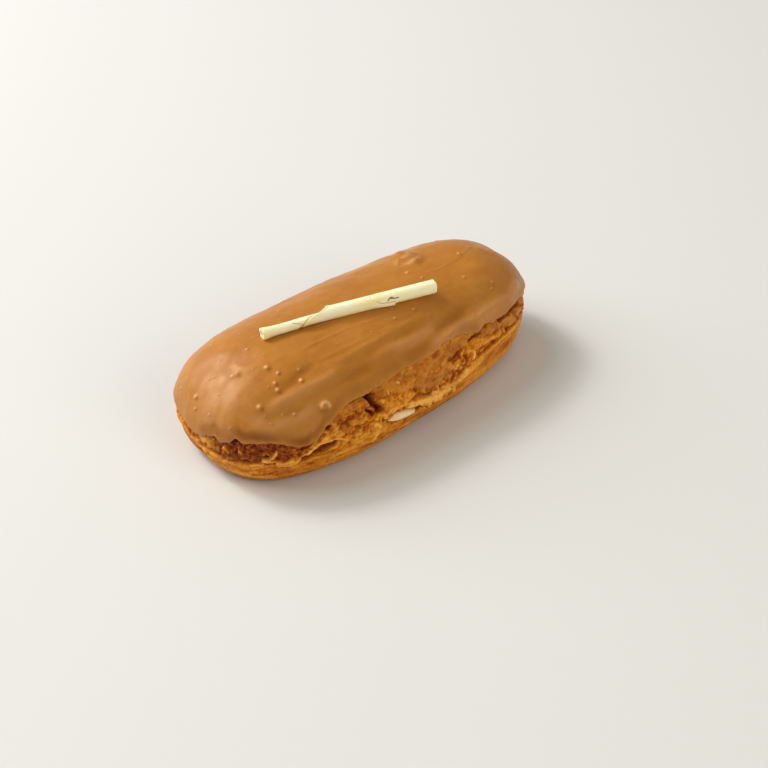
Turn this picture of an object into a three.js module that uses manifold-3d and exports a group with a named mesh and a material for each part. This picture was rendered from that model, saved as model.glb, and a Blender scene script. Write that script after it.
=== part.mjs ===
// A choux bun with poured icing, a cream filling and a rolled chocolate stick.
// Millimetres, +Z up, length along X, the side where the cream shows towards -Y.
import * as THREE from "three";
import Module from "manifold-3d";

const wasm = await Module();
wasm.setup();

// Body of the bun: plan outline.
const HALF_LENGTH = 64.6;
const HALF_WIDTH = 30.3;
const END_POWER = 2.38;
const SIDE_POWER = 2.67;
const BOW = -4.35;
const SPINE_HALF = 37.6;
const UNEVEN = [
  { order: 1, cosine: -0.018, sine: 0.024 },
  { order: 2, cosine: 0.013, sine: -0.009 },
  { order: 3, cosine: 0.037, sine: -0.026 },
  { order: 4, cosine: -0.009, sine: -0.004 },
];

// Body of the bun: cross-section.
const BODY_HEIGHT = 35;
const WIDEST_HEIGHT = 11.9;
const DOME_POWER = 2.15;
const FOOT_SHARE = 0.244;
const FLOOR_TURN = -45;
const FOOT_TURNS = [FLOOR_TURN, -32, -19];
const CREST_TURN = 86;

// Mesh steps.
const ARC_SAMPLES = 1600;
const FRONT_FROM = -92;
const FRONT_TO = 64;
const FRONT_COLUMNS = 120;
const BACK_COLUMNS = 48;
const BASE_RING = 0.62;
const CRUST_ROWS = 5;
const UNDER_ICING = 0.5;
const DOME_ROWS = 6;
const FULL_ROWS = 3;

// Skins.
const GAP = 0.3;
const ICING_THICK = 1.5;
const SEED = 37;

// Lower edge of the icing: [distance round the bun from its front middle, height].
const ICING_EDGE = [
  [-150, 16.2], [-128, 17.4], [-110, 16], [-97, 15.3], [-90, 15.2], [-84, 13.6],
  [-80, 13.9], [-76.5, 16], [-73.4, 17.3], [-71, 16.2], [-68.5, 17.1], [-66, 18.9],
  [-63.5, 17.9], [-57, 18.3], [-52, 17.5], [-46, 15.8], [-43.5, 15.4], [-41.6, 16.1],
  [-39, 17.9], [-36.5, 20], [-34, 21.4], [-31, 22.8], [-27, 23.8], [-12, 24.5],
  [-6, 25.1], [7, 24.6], [14, 25.6], [21, 25.2], [26, 24], [29.8, 22.9], [33, 23.6],
  [38, 22.4], [44, 21.8], [55, 21.5], [62, 19.6], [70, 17.8], [88, 16.6], [112, 17.6],
  [134, 16.4],
];

// Split line round the bun where the upper crust lifted off the base.
const SEAM = [
  [-145, 10.5], [-120, 9.5], [-97, 9.2], [-82, 9.3], [-70, 10.4], [-60, 10.9],
  [-50, 10.4], [-40, 10.3], [-24, 11.3], [-14, 11.7], [-8, 11.4], [0, 10.3], [5, 8.4],
  [11, 8.4], [16, 9.4], [20, 12], [27, 15], [34, 15.9], [44, 15.4], [56, 14.6],
  [68, 11.5], [90, 10.4], [120, 9.6],
];

// Raised strands and flakes of crust: path, half width, rise.
const STRANDS = [
  { path: [[-53, 11.1], [-47.4, 10.7], [-44.5, 12.4], [-41.7, 14.8], [-38.5, 17]], half: 0.8, rise: 1.5 },
  { path: [[-40.6, 14.4], [-37.5, 15.2], [-34, 14.6], [-31, 13.2]], half: 0.6, rise: 1.1 },
  { path: [[-57.7, 12], [-56, 12.6], [-53.6, 15]], half: 0.6, rise: 1.4 },
  { path: [[-2, 12.4], [3, 10.8], [8, 10.6], [13, 11]], half: 1.9, rise: 0.9 },
  { path: [[3, 9.8], [3.3, 8.2]], half: 0.8, rise: 0.9 },
  { path: [[8.6, 9.6], [9, 8]], half: 0.8, rise: 0.8 },
  { path: [[25.8, 16.4], [26, 17.8]], half: 1, rise: 0.8 },
  { path: [[21.6, 13.1], [22.4, 13.2]], half: 0.8, rise: 0.7 },
  { path: [[17.5, 15.9], [18.8, 17]], half: 0.9, rise: 0.6 },
  { path: [[-18.4, 12.8], [-17.8, 12.1]], half: 0.8, rise: 0.6 },
];

// Open cracks and pits in the crust: path, half width, depth.
const CRACKS = [
  { path: [[-20, 23.9], [-19, 21.6], [-17.5, 19], [-16.4, 17]], half: 1, depth: 2.6 },
  { path: [[-21.4, 19.3], [-20.4, 17.9]], half: 0.6, depth: 1.4 },
  { path: [[-37, 18.7], [-35.6, 19.1]], half: 0.7, depth: 1.2 },
  { path: [[-30.4, 14.6], [-29.8, 14.3]], half: 0.5, depth: 0.9 },
  { path: [[28.8, 17], [30.6, 18], [33.6, 16.9], [38, 16.4], [42, 18.1]], half: 0.7, depth: 1.3 },
  { path: [[44.2, 16.8], [47, 15.6], [51, 15.7], [55.6, 15.4]], half: 0.7, depth: 1.3 },
  { path: [[51, 18.7], [52.6, 16.8]], half: 0.5, depth: 0.9 },
  { path: [[29.2, 22.2], [30.4, 22.5]], half: 0.8, depth: 1.3 },
  { path: [[43.4, 20.9], [48, 20.8], [53.5, 20.4]], half: 0.9, depth: 1.2 },
  { path: [[-81.5, 8.2], [-79, 8.3]], half: 1, depth: 0.9 },
];

// Sunken rough bands of crust under the icing: from, to, floor and roof heights, depth.
const HOLLOWS = [
  { from: -77, to: -42, low: 11.4, high: 17.4, depth: 1.4 },
  { from: -45.5, to: -34, low: 10.9, high: 14, depth: 1.8 },
];

// Roughness of the crust: patch length and height, rise.
const CRUST_SWELL = { along: 7, up: 2.2, rise: 0.3 };
const CRUST_GRAIN = { along: 2.4, up: 1.6, rise: 0.14 };
const CRUST_LUMPS = { along: 3.1, up: 2.6, rise: 0.25 };
const HOLLOW_LUMPS = { along: 1.7, up: 1.5, rise: 0.3 };

// Split: height of its rings from the seam and how far each stands out.
const SEAM_RINGS = [
  { above: -1, lift: 0.25 },
  { above: 0, lift: -0.9 },
  { above: 1, lift: 0.35 },
];
const SEAM_BACK_SHARE = 0.65;

// Lower lip of the icing: rise above its edge, share of its thickness.
const LIP = [[0.3, 0], [-0.1, 0.23], [0, 0.47], [0.6, 0.97], [1.7, 1.1], [3.2, 1.07]];
const DOME_LOW = 1.2;
const LIP_TOP = 5.2;
const ICING_SWELL = { along: 13, up: 16, rise: 0.12 };

// Cream and the slit it shows through.
const CREAM_HALF = [48, 14, 6.5];
const CREAM_CENTRE = [0, -2.5, 13.5];
const CREAM_END_POWER = 0.6;
const CREAM_RINGS = 16;
const CREAM_SIDES = 20;
const SLIT_FROM = -14.6;
const SLIT_TO = 1.3;
const SLIT_START_HEIGHT = 11.8;
const SLIT_END_HEIGHT = 10.2;
const SLIT_HALF_GAPE = 1.75;
const SLIT_END_GAPE = 0.12;
const SLIT_POWER = 2.2;
const SLIT_SIDES = 24;
const SLIT_WIDEST = -9.2;
const TONGUE_TO = -1.8;
const TONGUE_FRONT = -31.8;
const TONGUE_BACK = -8;
const SLIT_FRONT = -37;

// Chocolate stick: a thin inner roll that comes out of a wider outer roll.
const INNER_FROM = [-36.9, 0.6, 38.35];
const INNER_TO = [-16.35, -4.6, 38.35];
const INNER_TO_SHARE = 0.36;
const INNER_RADIUS = 1.6;
const OUTER_FROM = [-19.65, -3.2, 38.9];
const OUTER_FROM_SHARE = 0.3;
const OUTER_TO = [21.4, -14.8, 38.2];
const OUTER_RADIUS = 2.25;
const END_FLARE = { rise: 0.26, reach: 0.045 };
const TEAR = { share: 0.32, slant: 0.08, turn: 230, step: 0.018 };
const FLAP = { share: 0.735, reach: 0.03, turn: 215, spread: 24, rise: 0.55 };
const STICK_RINGS = 26;
const STICK_SIDES = 18;
const STICK_BEVEL = 0.92;
const STICK_BEVEL_RISE = 0.25;
const STICK_HOLE = 0.4;
const STICK_HOLE_DEPTH = 1.6;

function signedPower(value, power) {
  return Math.sign(value) * Math.abs(value) ** power;
}

function smoothStep(from, to, value) {
  const share = Math.min(1, Math.max(0, (value - from) / (to - from)));
  return share * share * (3 - 2 * share);
}

function randomAt(i, j) {
  const value = Math.sin(i * 127.1 + j * 311.7 + SEED) * 43758.5453;
  return value - Math.floor(value);
}

// Smooth noise from -1 to 1 on a unit grid.
function noise(u, v) {
  const i = Math.floor(u);
  const j = Math.floor(v);
  const a = smoothStep(0, 1, u - i);
  const b = smoothStep(0, 1, v - j);
  const low = randomAt(i, j) * (1 - a) + randomAt(i + 1, j) * a;
  const high = randomAt(i, j + 1) * (1 - a) + randomAt(i + 1, j + 1) * a;
  return 2 * (low * (1 - b) + high * b) - 1;
}

function patchy(grain, arc, height) {
  return grain.rise * noise(arc / grain.along, height / grain.up);
}

// Widest outline of the bun seen from above.
function outlinePoint(angle) {
  const c = Math.cos(angle);
  const s = Math.sin(angle);
  let grow = 1;
  for (const wave of UNEVEN) {
    grow += wave.cosine * Math.cos(wave.order * angle) + wave.sine * Math.sin(wave.order * angle);
  }
  const x = HALF_LENGTH * signedPower(c, 2 / END_POWER) * grow;
  const y = HALF_WIDTH * signedPower(s, 2 / SIDE_POWER) * grow;
  return [x, y + BOW * (1 - (x / HALF_LENGTH) ** 2)];
}

// Outline resampled by distance from its front middle, positive towards +X.
function measureOutline() {
  const points = [outlinePoint(-Math.PI / 2)];
  const reach = [0];
  for (let i = 1; i <= ARC_SAMPLES; i++) {
    const point = outlinePoint(-Math.PI / 2 + (2 * Math.PI * i) / ARC_SAMPLES);
    const last = points[i - 1];
    reach.push(reach[i - 1] + Math.hypot(point[0] - last[0], point[1] - last[1]));
    points.push(point);
  }
  return { points, reach, length: reach[ARC_SAMPLES] };
}

const outline = measureOutline();

function outlineAt(arc) {
  const wanted = ((arc % outline.length) + outline.length) % outline.length;
  let low = 0;
  let high = ARC_SAMPLES;
  while (high - low > 1) {
    const middle = (low + high) >> 1;
    if (outline.reach[middle] <= wanted) low = middle;
    else high = middle;
  }
  const share = (wanted - outline.reach[low]) / (outline.reach[high] - outline.reach[low]);
  const a = outline.points[low];
  const b = outline.points[high];
  return [a[0] + (b[0] - a[0]) * share, a[1] + (b[1] - a[1]) * share];
}

// Point of the crest line that a column of the skin climbs to.
function spineAt(x) {
  const across = x / SPINE_HALF;
  const mx = x / (1 + across ** 4) ** 0.25;
  return [mx, BOW * (1 - (mx / HALF_LENGTH) ** 2)];
}

// Smooth bun surface: turn -45 is the floor's rim, 0 the widest line, 90 the crest.
function bodyPoint(arc, turn) {
  const [ex, ey] = outlineAt(arc);
  const [mx, my] = spineAt(ex);
  let reach;
  let height;
  if (turn >= 0) {
    const angle = THREE.MathUtils.degToRad(turn);
    reach = Math.cos(angle) ** (2 / DOME_POWER);
    height = WIDEST_HEIGHT + (BODY_HEIGHT - WIDEST_HEIGHT) * Math.sin(angle) ** (2 / DOME_POWER);
  } else {
    const angle = THREE.MathUtils.degToRad(-2 * turn);
    reach = 1 - FOOT_SHARE * (1 - Math.cos(angle));
    height = WIDEST_HEIGHT * (1 - Math.sin(angle));
  }
  return new THREE.Vector3(mx + reach * (ex - mx), my + reach * (ey - my), height);
}

function turnAtHeight(height) {
  if (height < WIDEST_HEIGHT) {
    const share = Math.min(1, 1 - height / WIDEST_HEIGHT);
    return -THREE.MathUtils.radToDeg(Math.asin(share)) / 2;
  }
  const share = (height - WIDEST_HEIGHT) / (BODY_HEIGHT - WIDEST_HEIGHT);
  return THREE.MathUtils.radToDeg(Math.asin(share ** (DOME_POWER / 2)));
}

// Point lifted off the smooth surface along its normal.
function lifted(arc, turn, lift) {
  const stepArc = 0.6;
  const stepTurn = 0.8;
  const lowTurn = Math.max(FLOOR_TURN, turn - stepTurn);
  const along = bodyPoint(arc + stepArc, turn).sub(bodyPoint(arc - stepArc, turn));
  const up = bodyPoint(arc, Math.min(89, turn + stepTurn)).sub(bodyPoint(arc, lowTurn));
  const normal = along.cross(up).normalize();
  return bodyPoint(arc, turn).addScaledVector(normal, lift);
}

// Value of a closed run of [distance, value] pairs, eased between neighbours.
function runAt(run, arc) {
  const half = outline.length / 2;
  const at = arc > half ? arc - outline.length : arc < -half ? arc + outline.length : arc;
  const count = run.length;
  let next = run.findIndex((pair) => pair[0] > at);
  if (next < 0) next = count;
  const a = run[(next - 1 + count) % count];
  const b = run[next % count];
  const from = next === 0 ? a[0] - outline.length : a[0];
  const to = next === count ? b[0] + outline.length : b[0];
  return a[1] + (b[1] - a[1]) * smoothStep(from, to, at);
}

// Share from 0 to 1 of a soft stroke drawn along a path of [distance, height] points.
function strokeShare(path, half, arc, height) {
  let nearest = Infinity;
  for (let i = 1; i < path.length; i++) {
    const [ax, az] = path[i - 1];
    const [bx, bz] = path[i];
    const length2 = (bx - ax) ** 2 + (bz - az) ** 2;
    const along = ((arc - ax) * (bx - ax) + (height - az) * (bz - az)) / length2;
    const share = Math.min(1, Math.max(0, along));
    const dx = arc - ax - share * (bx - ax);
    const dz = height - az - share * (bz - az);
    nearest = Math.min(nearest, Math.hypot(dx, dz));
  }
  return Math.exp(-((nearest / half) ** 2));
}

// How far the baked crust stands out of the smooth surface.
function crustRelief(arc, height) {
  const edge = runAt(ICING_EDGE, arc);
  const seam = runAt(SEAM, arc);
  let relief = patchy(CRUST_SWELL, arc, height) + patchy(CRUST_GRAIN, arc, height);
  relief += smoothStep(seam - 0.2, seam + 1.2, height) * patchy(CRUST_LUMPS, arc, height);
  for (const hollow of HOLLOWS) {
    const along = smoothStep(hollow.from - 2, hollow.from + 3, arc)
      * (1 - smoothStep(hollow.to - 3, hollow.to + 2, arc));
    const across = smoothStep(hollow.low - 1, hollow.low + 0.8, height)
      * (1 - smoothStep(hollow.high, hollow.high + 4, height));
    relief -= along * across * hollow.depth * (1 + patchy(HOLLOW_LUMPS, arc, height));
  }
  for (const crack of CRACKS) {
    relief -= crack.depth * strokeShare(crack.path, crack.half, arc, height);
  }
  for (const strand of STRANDS) {
    relief += strand.rise * strokeShare(strand.path, strand.half, arc, height);
  }
  const room = smoothStep(edge + 0.6, edge - 1.6, height);
  return Math.min(relief, 0.7 * room) * smoothStep(edge + 1, edge - 0.4, height)
    * smoothStep(0.2, 3, height);
}

// Distances round the bun of the skin's columns, closer together along the front.
function columnArcs() {
  const arcs = [];
  for (let i = 0; i < FRONT_COLUMNS; i++) {
    arcs.push(FRONT_FROM + ((FRONT_TO - FRONT_FROM) * i) / FRONT_COLUMNS);
  }
  const rest = outline.length - (FRONT_TO - FRONT_FROM);
  for (let i = 0; i < BACK_COLUMNS; i++) arcs.push(FRONT_TO + (rest * i) / BACK_COLUMNS);
  return arcs.map((arc) => (arc > outline.length / 2 ? arc - outline.length : arc));
}

// Joins two neighbouring rings; the later one may have half as many points.
function joinRings(faces, first, firstCount, second, secondCount) {
  for (let i = 0; i < firstCount; i++) {
    const a = first + i;
    const b = first + ((i + 1) % firstCount);
    if (firstCount === secondCount) {
      const c = second + ((i + 1) % firstCount);
      const d = second + i;
      faces.push([a, b, c], [a, c, d]);
    } else if (firstCount === 2 * secondCount) {
      const near = second + Math.floor(i / 2);
      const far = second + ((Math.floor(i / 2) + 1) % secondCount);
      if (i % 2 === 0) faces.push([a, b, near]);
      else faces.push([a, b, far], [a, far, near]);
    } else {
      const d0 = second + 2 * i;
      const d1 = second + 2 * i + 1;
      const d2 = second + ((2 * i + 2) % secondCount);
      faces.push([a, d1, d0], [a, b, d1], [b, d2, d1]);
    }
  }
}

// Closes a long ring with a strip of triangles between its front and back runs.
function zipRing(faces, points, start, count, facingUp) {
  let left = 0;
  let right = 0;
  for (let i = 1; i < count; i++) {
    if (points[start + i].x < points[start + left].x) left = i;
    if (points[start + i].x > points[start + right].x) right = i;
  }
  const front = [];
  const back = [];
  for (let i = left; i % count !== right; i++) front.push(start + (i % count));
  front.push(start + right);
  for (let i = left + count; i % count !== right; i--) back.push(start + (i % count));
  back.push(start + right);
  let i = 0;
  let j = 0;
  while (i < front.length - 1 || j < back.length - 1) {
    const frontNext = i < front.length - 1 ? points[front[i + 1]].x : Infinity;
    const backNext = j < back.length - 1 ? points[back[j + 1]].x : Infinity;
    let face;
    if (frontNext <= backNext) face = [front[i], front[++i], back[j]];
    else face = [front[i], back[j + 1], back[j++]];
    if (new Set(face).size < 3) continue;
    faces.push(facingUp ? face : [face[0], face[2], face[1]]);
  }
}

function toGeometry(points, faces) {
  const geometry = new THREE.BufferGeometry();
  const flat = points.flatMap((point) => [point.x, point.y, point.z]);
  geometry.setAttribute("position", new THREE.Float32BufferAttribute(flat, 3));
  geometry.setIndex(faces.flat());
  geometry.computeVertexNormals();
  return geometry;
}

// Closed skin through a run of rings, its first and last ring zipped shut.
function zippedSkin(rings) {
  const points = rings.flat();
  const faces = [];
  let start = 0;
  zipRing(faces, points, 0, rings[0].length, false);
  for (let r = 1; r < rings.length; r++) {
    const next = start + rings[r - 1].length;
    joinRings(faces, start, rings[r - 1].length, next, rings[r].length);
    start = next;
  }
  zipRing(faces, points, start, rings[rings.length - 1].length, true);
  return toGeometry(points, faces);
}

// Closed skin through rings of equal count, closed by a middle point at each end.
function cappedSkin(rings, firstMiddle, lastMiddle) {
  const points = [...rings.flat(), firstMiddle, lastMiddle];
  const count = rings[0].length;
  const faces = [];
  for (let r = 1; r < rings.length; r++) {
    joinRings(faces, (r - 1) * count, count, r * count, count);
  }
  const first = points.length - 2;
  const last = points.length - 1;
  const lastRing = (rings.length - 1) * count;
  for (let i = 0; i < count; i++) {
    const j = (i + 1) % count;
    faces.push([first, j, i], [last, lastRing + i, lastRing + j]);
  }
  return toGeometry(points, faces);
}

function toSolid(geometry) {
  const mesh = new wasm.Mesh({
    numProp: 3,
    vertProperties: new Float32Array(geometry.attributes.position.array),
    triVerts: new Uint32Array(geometry.index.array),
  });
  mesh.merge();
  return new wasm.Manifold(mesh);
}

function fromSolid(solid) {
  const mesh = solid.getMesh();
  const geometry = new THREE.BufferGeometry();
  geometry.setAttribute("position", new THREE.BufferAttribute(mesh.vertProperties.slice(), 3));
  geometry.setIndex(Array.from(mesh.triVerts));
  geometry.computeVertexNormals();
  return geometry;
}

// Turns of the dome's rings above a column's icing edge.
function domeTurns(arc, lift) {
  const from = turnAtHeight(runAt(ICING_EDGE, arc) + lift);
  const turns = [];
  for (let i = 0; i <= DOME_ROWS; i++) {
    turns.push(from + (CREST_TURN - from) * (i / DOME_ROWS) ** 0.9);
  }
  return turns;
}

// Heights of the crust's rings on one column, from the base to the icing.
function crustHeights(arc) {
  const seam = runAt(SEAM, arc);
  const edge = runAt(ICING_EDGE, arc);
  const heights = SEAM_RINGS.map((ring) => seam + ring.above);
  const low = heights[heights.length - 1];
  for (let i = 1; i <= CRUST_ROWS; i++) {
    heights.push(low + ((edge - UNDER_ICING - low) * i) / CRUST_ROWS);
  }
  return [seam * BASE_RING, ...heights];
}

// Step of the split: the base's rim, the groove and the lifted crust over it.
function seamStep(arc, ring) {
  const step = SEAM_RINGS[ring - 1];
  if (!step) return 0;
  const open = SEAM_BACK_SHARE + (1 - SEAM_BACK_SHARE) * smoothStep(FRONT_FROM, FRONT_FROM + 20, arc);
  return step.lift * open * (1 + 0.35 * noise(arc / 5, ring + 9));
}

function bunRings(arcs) {
  const rings = [];
  for (const turn of FOOT_TURNS) rings.push(arcs.map((arc) => bodyPoint(arc, turn)));
  const heights = arcs.map(crustHeights);
  for (let k = 0; k < heights[0].length; k++) {
    rings.push(arcs.map((arc, i) => {
      const height = heights[i][k];
      return lifted(arc, turnAtHeight(height), crustRelief(arc, height) + seamStep(arc, k));
    }));
  }
  rings.push(...domeRings(arcs, 0));
  return rings;
}

// Low swells of the poured icing, calm towards the crest.
function icingRelief(arc, turn) {
  return (1 - smoothStep(70, CREST_TURN, turn)) * patchy(ICING_SWELL, arc, turn);
}

// Rings of the dome from the icing's edge to the crest, every second column above the first.
function domeRings(arcs, lift) {
  const turns = arcs.map((arc) => domeTurns(arc, DOME_LOW));
  const rings = [arcs.map((arc, i) => lifted(arc, turns[i][0], lift))];
  for (let k = 1; k <= DOME_ROWS; k++) {
    rings.push(arcs.filter((arc, i) => i % 2 === 0).map((arc, i) => lifted(arc, turns[2 * i][k], lift)));
  }
  return rings;
}

function icingRings(arcs) {
  const rings = domeRings(arcs, GAP).reverse();
  for (const [rise, share] of LIP) {
    const lift = GAP + share * ICING_THICK;
    rings.push(arcs.map((arc) => lifted(arc, turnAtHeight(runAt(ICING_EDGE, arc) + rise), lift)));
  }
  const full = GAP + ICING_THICK;
  const outer = arcs.map((arc) => domeTurns(arc, LIP_TOP));
  for (let k = 0; k <= DOME_ROWS; k++) {
    const every = k < FULL_ROWS ? 1 : 2;
    rings.push(arcs.filter((arc, i) => i % every === 0).map((arc, i) => {
      const turn = outer[every * i][k];
      return lifted(arc, turn, full + icingRelief(arc, turn));
    }));
  }
  return rings;
}

// Half gape of the slit at a place along it, less a margin.
function gapeAt(x, from, to, margin) {
  const end = x < SLIT_WIDEST ? from : to;
  const run = (x - SLIT_WIDEST) / (end - SLIT_WIDEST);
  return Math.max(SLIT_END_GAPE, (SLIT_HALF_GAPE - margin) * (1 - run ** SLIT_POWER));
}

function slitHeight(x) {
  const share = smoothStep(SLIT_FROM, SLIT_TO, x);
  return SLIT_START_HEIGHT + (SLIT_END_HEIGHT - SLIT_START_HEIGHT) * share;
}

// Lens-shaped bar pushed in through the slit.
function slitBar(from, to, margin, front, back) {
  const ringAt = (y) => {
    const ring = [];
    for (let i = 0; i < SLIT_SIDES; i++) {
      const round = (2 * Math.PI * i) / SLIT_SIDES;
      const x = from + ((to - from) * (1 - Math.cos(round))) / 2;
      const gape = gapeAt(x, from, to, margin) * (round < Math.PI ? -1 : 1);
      ring.push(new THREE.Vector3(x, y, slitHeight(x) + gape));
    }
    return ring;
  };
  const rings = [back, (front + back) / 2, front].map(ringAt);
  return cappedSkin(rings, ringMiddle(rings[0]), ringMiddle(rings[2]));
}

// Long rounded run of cream inside the bun.
function creamLog(margin) {
  const rings = [];
  const centre = new THREE.Vector3(...CREAM_CENTRE);
  const [lx, ly, lz] = CREAM_HALF.map((half) => half + margin);
  for (let i = 1; i < CREAM_RINGS; i++) {
    const angle = (Math.PI * i) / CREAM_RINGS;
    const reach = Math.sin(angle) ** CREAM_END_POWER;
    const ring = [];
    for (let j = 0; j < CREAM_SIDES; j++) {
      const round = (2 * Math.PI * j) / CREAM_SIDES;
      const y = ly * reach * Math.cos(round);
      const z = lz * reach * Math.sin(round);
      ring.push(new THREE.Vector3(-lx * Math.cos(angle), y, z).add(centre));
    }
    rings.push(ring);
  }
  const end = (sign) => new THREE.Vector3(sign * lx, 0, 0).add(centre);
  return cappedSkin(rings, end(-1), end(1));
}

function icingGeometry(arcs) {
  return fromSolid(toSolid(zippedSkin(icingRings(arcs))).subtract(toSolid(stickBed())));
}

function bunGeometry(arcs) {
  const bun = toSolid(zippedSkin(bunRings(arcs)));
  const room = toSolid(creamLog(GAP));
  const slit = toSolid(slitBar(SLIT_FROM, SLIT_TO, 0, SLIT_FRONT, TONGUE_BACK));
  return fromSolid(bun.subtract(room.add(slit)));
}

function creamGeometry() {
  const log = toSolid(creamLog(0));
  const tongue = toSolid(slitBar(SLIT_FROM + GAP, TONGUE_TO, GAP, TONGUE_FRONT, TONGUE_BACK));
  return fromSolid(log.add(tongue));
}

function between(from, to, share) {
  return new THREE.Vector3(...from).lerp(new THREE.Vector3(...to), share);
}

// Centre of the inner roll at a share of the stick's length.
function innerCentre(share) {
  return between(INNER_FROM, INNER_TO, share / INNER_TO_SHARE);
}

function outerCentre(share) {
  return between(OUTER_FROM, OUTER_TO, (share - OUTER_FROM_SHARE) / (1 - OUTER_FROM_SHARE));
}

const stickAxis = outerCentre(1).sub(innerCentre(0)).normalize();
const stickSide = new THREE.Vector3(0, 0, 1).cross(stickAxis).normalize();
const stickUp = stickAxis.clone().cross(stickSide);

function bump(value, middle, reach) {
  return Math.exp(-(((value - middle) / reach) ** 2));
}

// Ring of the stick at a share of its length, scaled and moved along the axis.
// Past a slanting tear, the points lie on the outer roll.
function stickRing(share, scale, push) {
  const inner = INNER_RADIUS * (1 + END_FLARE.rise * bump(share, 0, END_FLARE.reach));
  const ring = [];
  for (let j = 0; j < STICK_SIDES; j++) {
    const turn = (360 * j) / STICK_SIDES;
    const round = THREE.MathUtils.degToRad(turn);
    const tear = TEAR.share - TEAR.slant * Math.cos(round - THREE.MathUtils.degToRad(TEAR.turn));
    const wrap = smoothStep(tear, tear + TEAR.step, share);
    const flap = bump(share, FLAP.share, FLAP.reach) * bump(turn, FLAP.turn, FLAP.spread);
    const radius = inner + (OUTER_RADIUS + FLAP.rise * flap - inner) * wrap;
    ring.push(innerCentre(share).lerp(outerCentre(share), wrap)
      .addScaledVector(stickAxis, push)
      .addScaledVector(stickSide, scale * radius * Math.cos(round))
      .addScaledVector(stickUp, scale * radius * Math.sin(round)));
  }
  return ring;
}

function ringMiddle(ring) {
  const sum = new THREE.Vector3();
  for (const point of ring) sum.add(point);
  return sum.divideScalar(ring.length);
}

function stickGeometry() {
  const rings = [
    stickRing(0, STICK_HOLE, STICK_HOLE_DEPTH),
    stickRing(0, STICK_HOLE, 0),
    stickRing(0, STICK_BEVEL, 0),
    stickRing(0, 1, STICK_BEVEL_RISE),
  ];
  for (let i = 1; i < STICK_RINGS; i++) rings.push(stickRing(i / STICK_RINGS, 1, 0));
  rings.push(
    stickRing(1, 1, -STICK_BEVEL_RISE),
    stickRing(1, STICK_BEVEL, 0),
    stickRing(1, STICK_HOLE, 0),
    stickRing(1, STICK_HOLE, -STICK_HOLE_DEPTH),
  );
  return cappedSkin(rings, ringMiddle(rings[0]), ringMiddle(rings[rings.length - 1]));
}

// Stick grown all round by the gap, to press its bed into the icing.
function stickBed() {
  const grow = (OUTER_RADIUS + GAP) / OUTER_RADIUS;
  const rings = [stickRing(0, grow, -GAP)];
  for (let i = 1; i < STICK_RINGS; i++) rings.push(stickRing(i / STICK_RINGS, grow, 0));
  rings.push(stickRing(1, grow, GAP));
  return cappedSkin(rings, ringMiddle(rings[0]), ringMiddle(rings[STICK_RINGS]));
}

function bakedCrust() {
  return new THREE.MeshStandardMaterial({ color: 0xc27a2c, roughness: 0.75, metalness: 0 });
}

function caramelIcing() {
  return new THREE.MeshStandardMaterial({ color: 0xb87a3c, roughness: 0.35, metalness: 0 });
}

function pastryCream() {
  return new THREE.MeshStandardMaterial({ color: 0xe8d3a0, roughness: 0.5, metalness: 0 });
}

function paleChocolate() {
  return new THREE.MeshStandardMaterial({ color: 0xf1e6bc, roughness: 0.5, metalness: 0 });
}

function namedMesh(name, geometry, material) {
  const mesh = new THREE.Mesh(geometry, material);
  mesh.name = name;
  return mesh;
}

// Moves the whole bun so that the middle of its box stands over the origin.
function centred(meshes) {
  const box = new THREE.Box3();
  for (const mesh of meshes) box.expandByObject(mesh);
  const middle = box.getCenter(new THREE.Vector3());
  for (const mesh of meshes) mesh.geometry.translate(-middle.x, -middle.y, -box.min.z);
  const group = new THREE.Group();
  group.name = "filled_bun";
  group.add(...meshes);
  return group;
}

function filledBun() {
  const arcs = columnArcs();
  return centred([
    namedMesh("choux", bunGeometry(arcs), bakedCrust()),
    namedMesh("icing", icingGeometry(arcs), caramelIcing()),
    namedMesh("cream", creamGeometry(), pastryCream()),
    namedMesh("chocolate_stick", stickGeometry(), paleChocolate()),
  ]);
}

export default filledBun();
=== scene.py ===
# An iced choux bun with a cream filling and a rolled chocolate stick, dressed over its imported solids.
import math

import bpy
import numpy as np
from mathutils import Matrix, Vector


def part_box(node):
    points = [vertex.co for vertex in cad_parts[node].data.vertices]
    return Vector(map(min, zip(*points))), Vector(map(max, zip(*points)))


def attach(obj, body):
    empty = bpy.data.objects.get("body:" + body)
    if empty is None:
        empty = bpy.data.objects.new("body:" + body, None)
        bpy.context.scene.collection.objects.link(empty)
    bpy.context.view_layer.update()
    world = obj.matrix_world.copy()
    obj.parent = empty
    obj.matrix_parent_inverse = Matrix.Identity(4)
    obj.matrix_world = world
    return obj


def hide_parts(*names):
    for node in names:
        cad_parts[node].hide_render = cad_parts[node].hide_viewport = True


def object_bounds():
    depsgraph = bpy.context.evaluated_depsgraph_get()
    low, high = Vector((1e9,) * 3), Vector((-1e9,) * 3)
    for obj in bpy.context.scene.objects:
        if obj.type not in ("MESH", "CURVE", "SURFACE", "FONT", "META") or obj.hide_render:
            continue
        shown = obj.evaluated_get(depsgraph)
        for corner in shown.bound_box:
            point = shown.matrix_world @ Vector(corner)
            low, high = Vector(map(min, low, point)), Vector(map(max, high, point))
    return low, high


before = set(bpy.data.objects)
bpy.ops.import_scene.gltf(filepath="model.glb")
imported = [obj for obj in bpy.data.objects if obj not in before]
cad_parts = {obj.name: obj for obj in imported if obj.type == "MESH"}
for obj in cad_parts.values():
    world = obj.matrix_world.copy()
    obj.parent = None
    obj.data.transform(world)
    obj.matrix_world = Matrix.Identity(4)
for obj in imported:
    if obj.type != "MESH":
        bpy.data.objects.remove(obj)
cad_low, cad_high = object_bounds()

# ---------- Sizes, in millimetres ----------
# The bun's own frame has its origin near the middle of the bun's floor.

MM = 0.001

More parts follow.
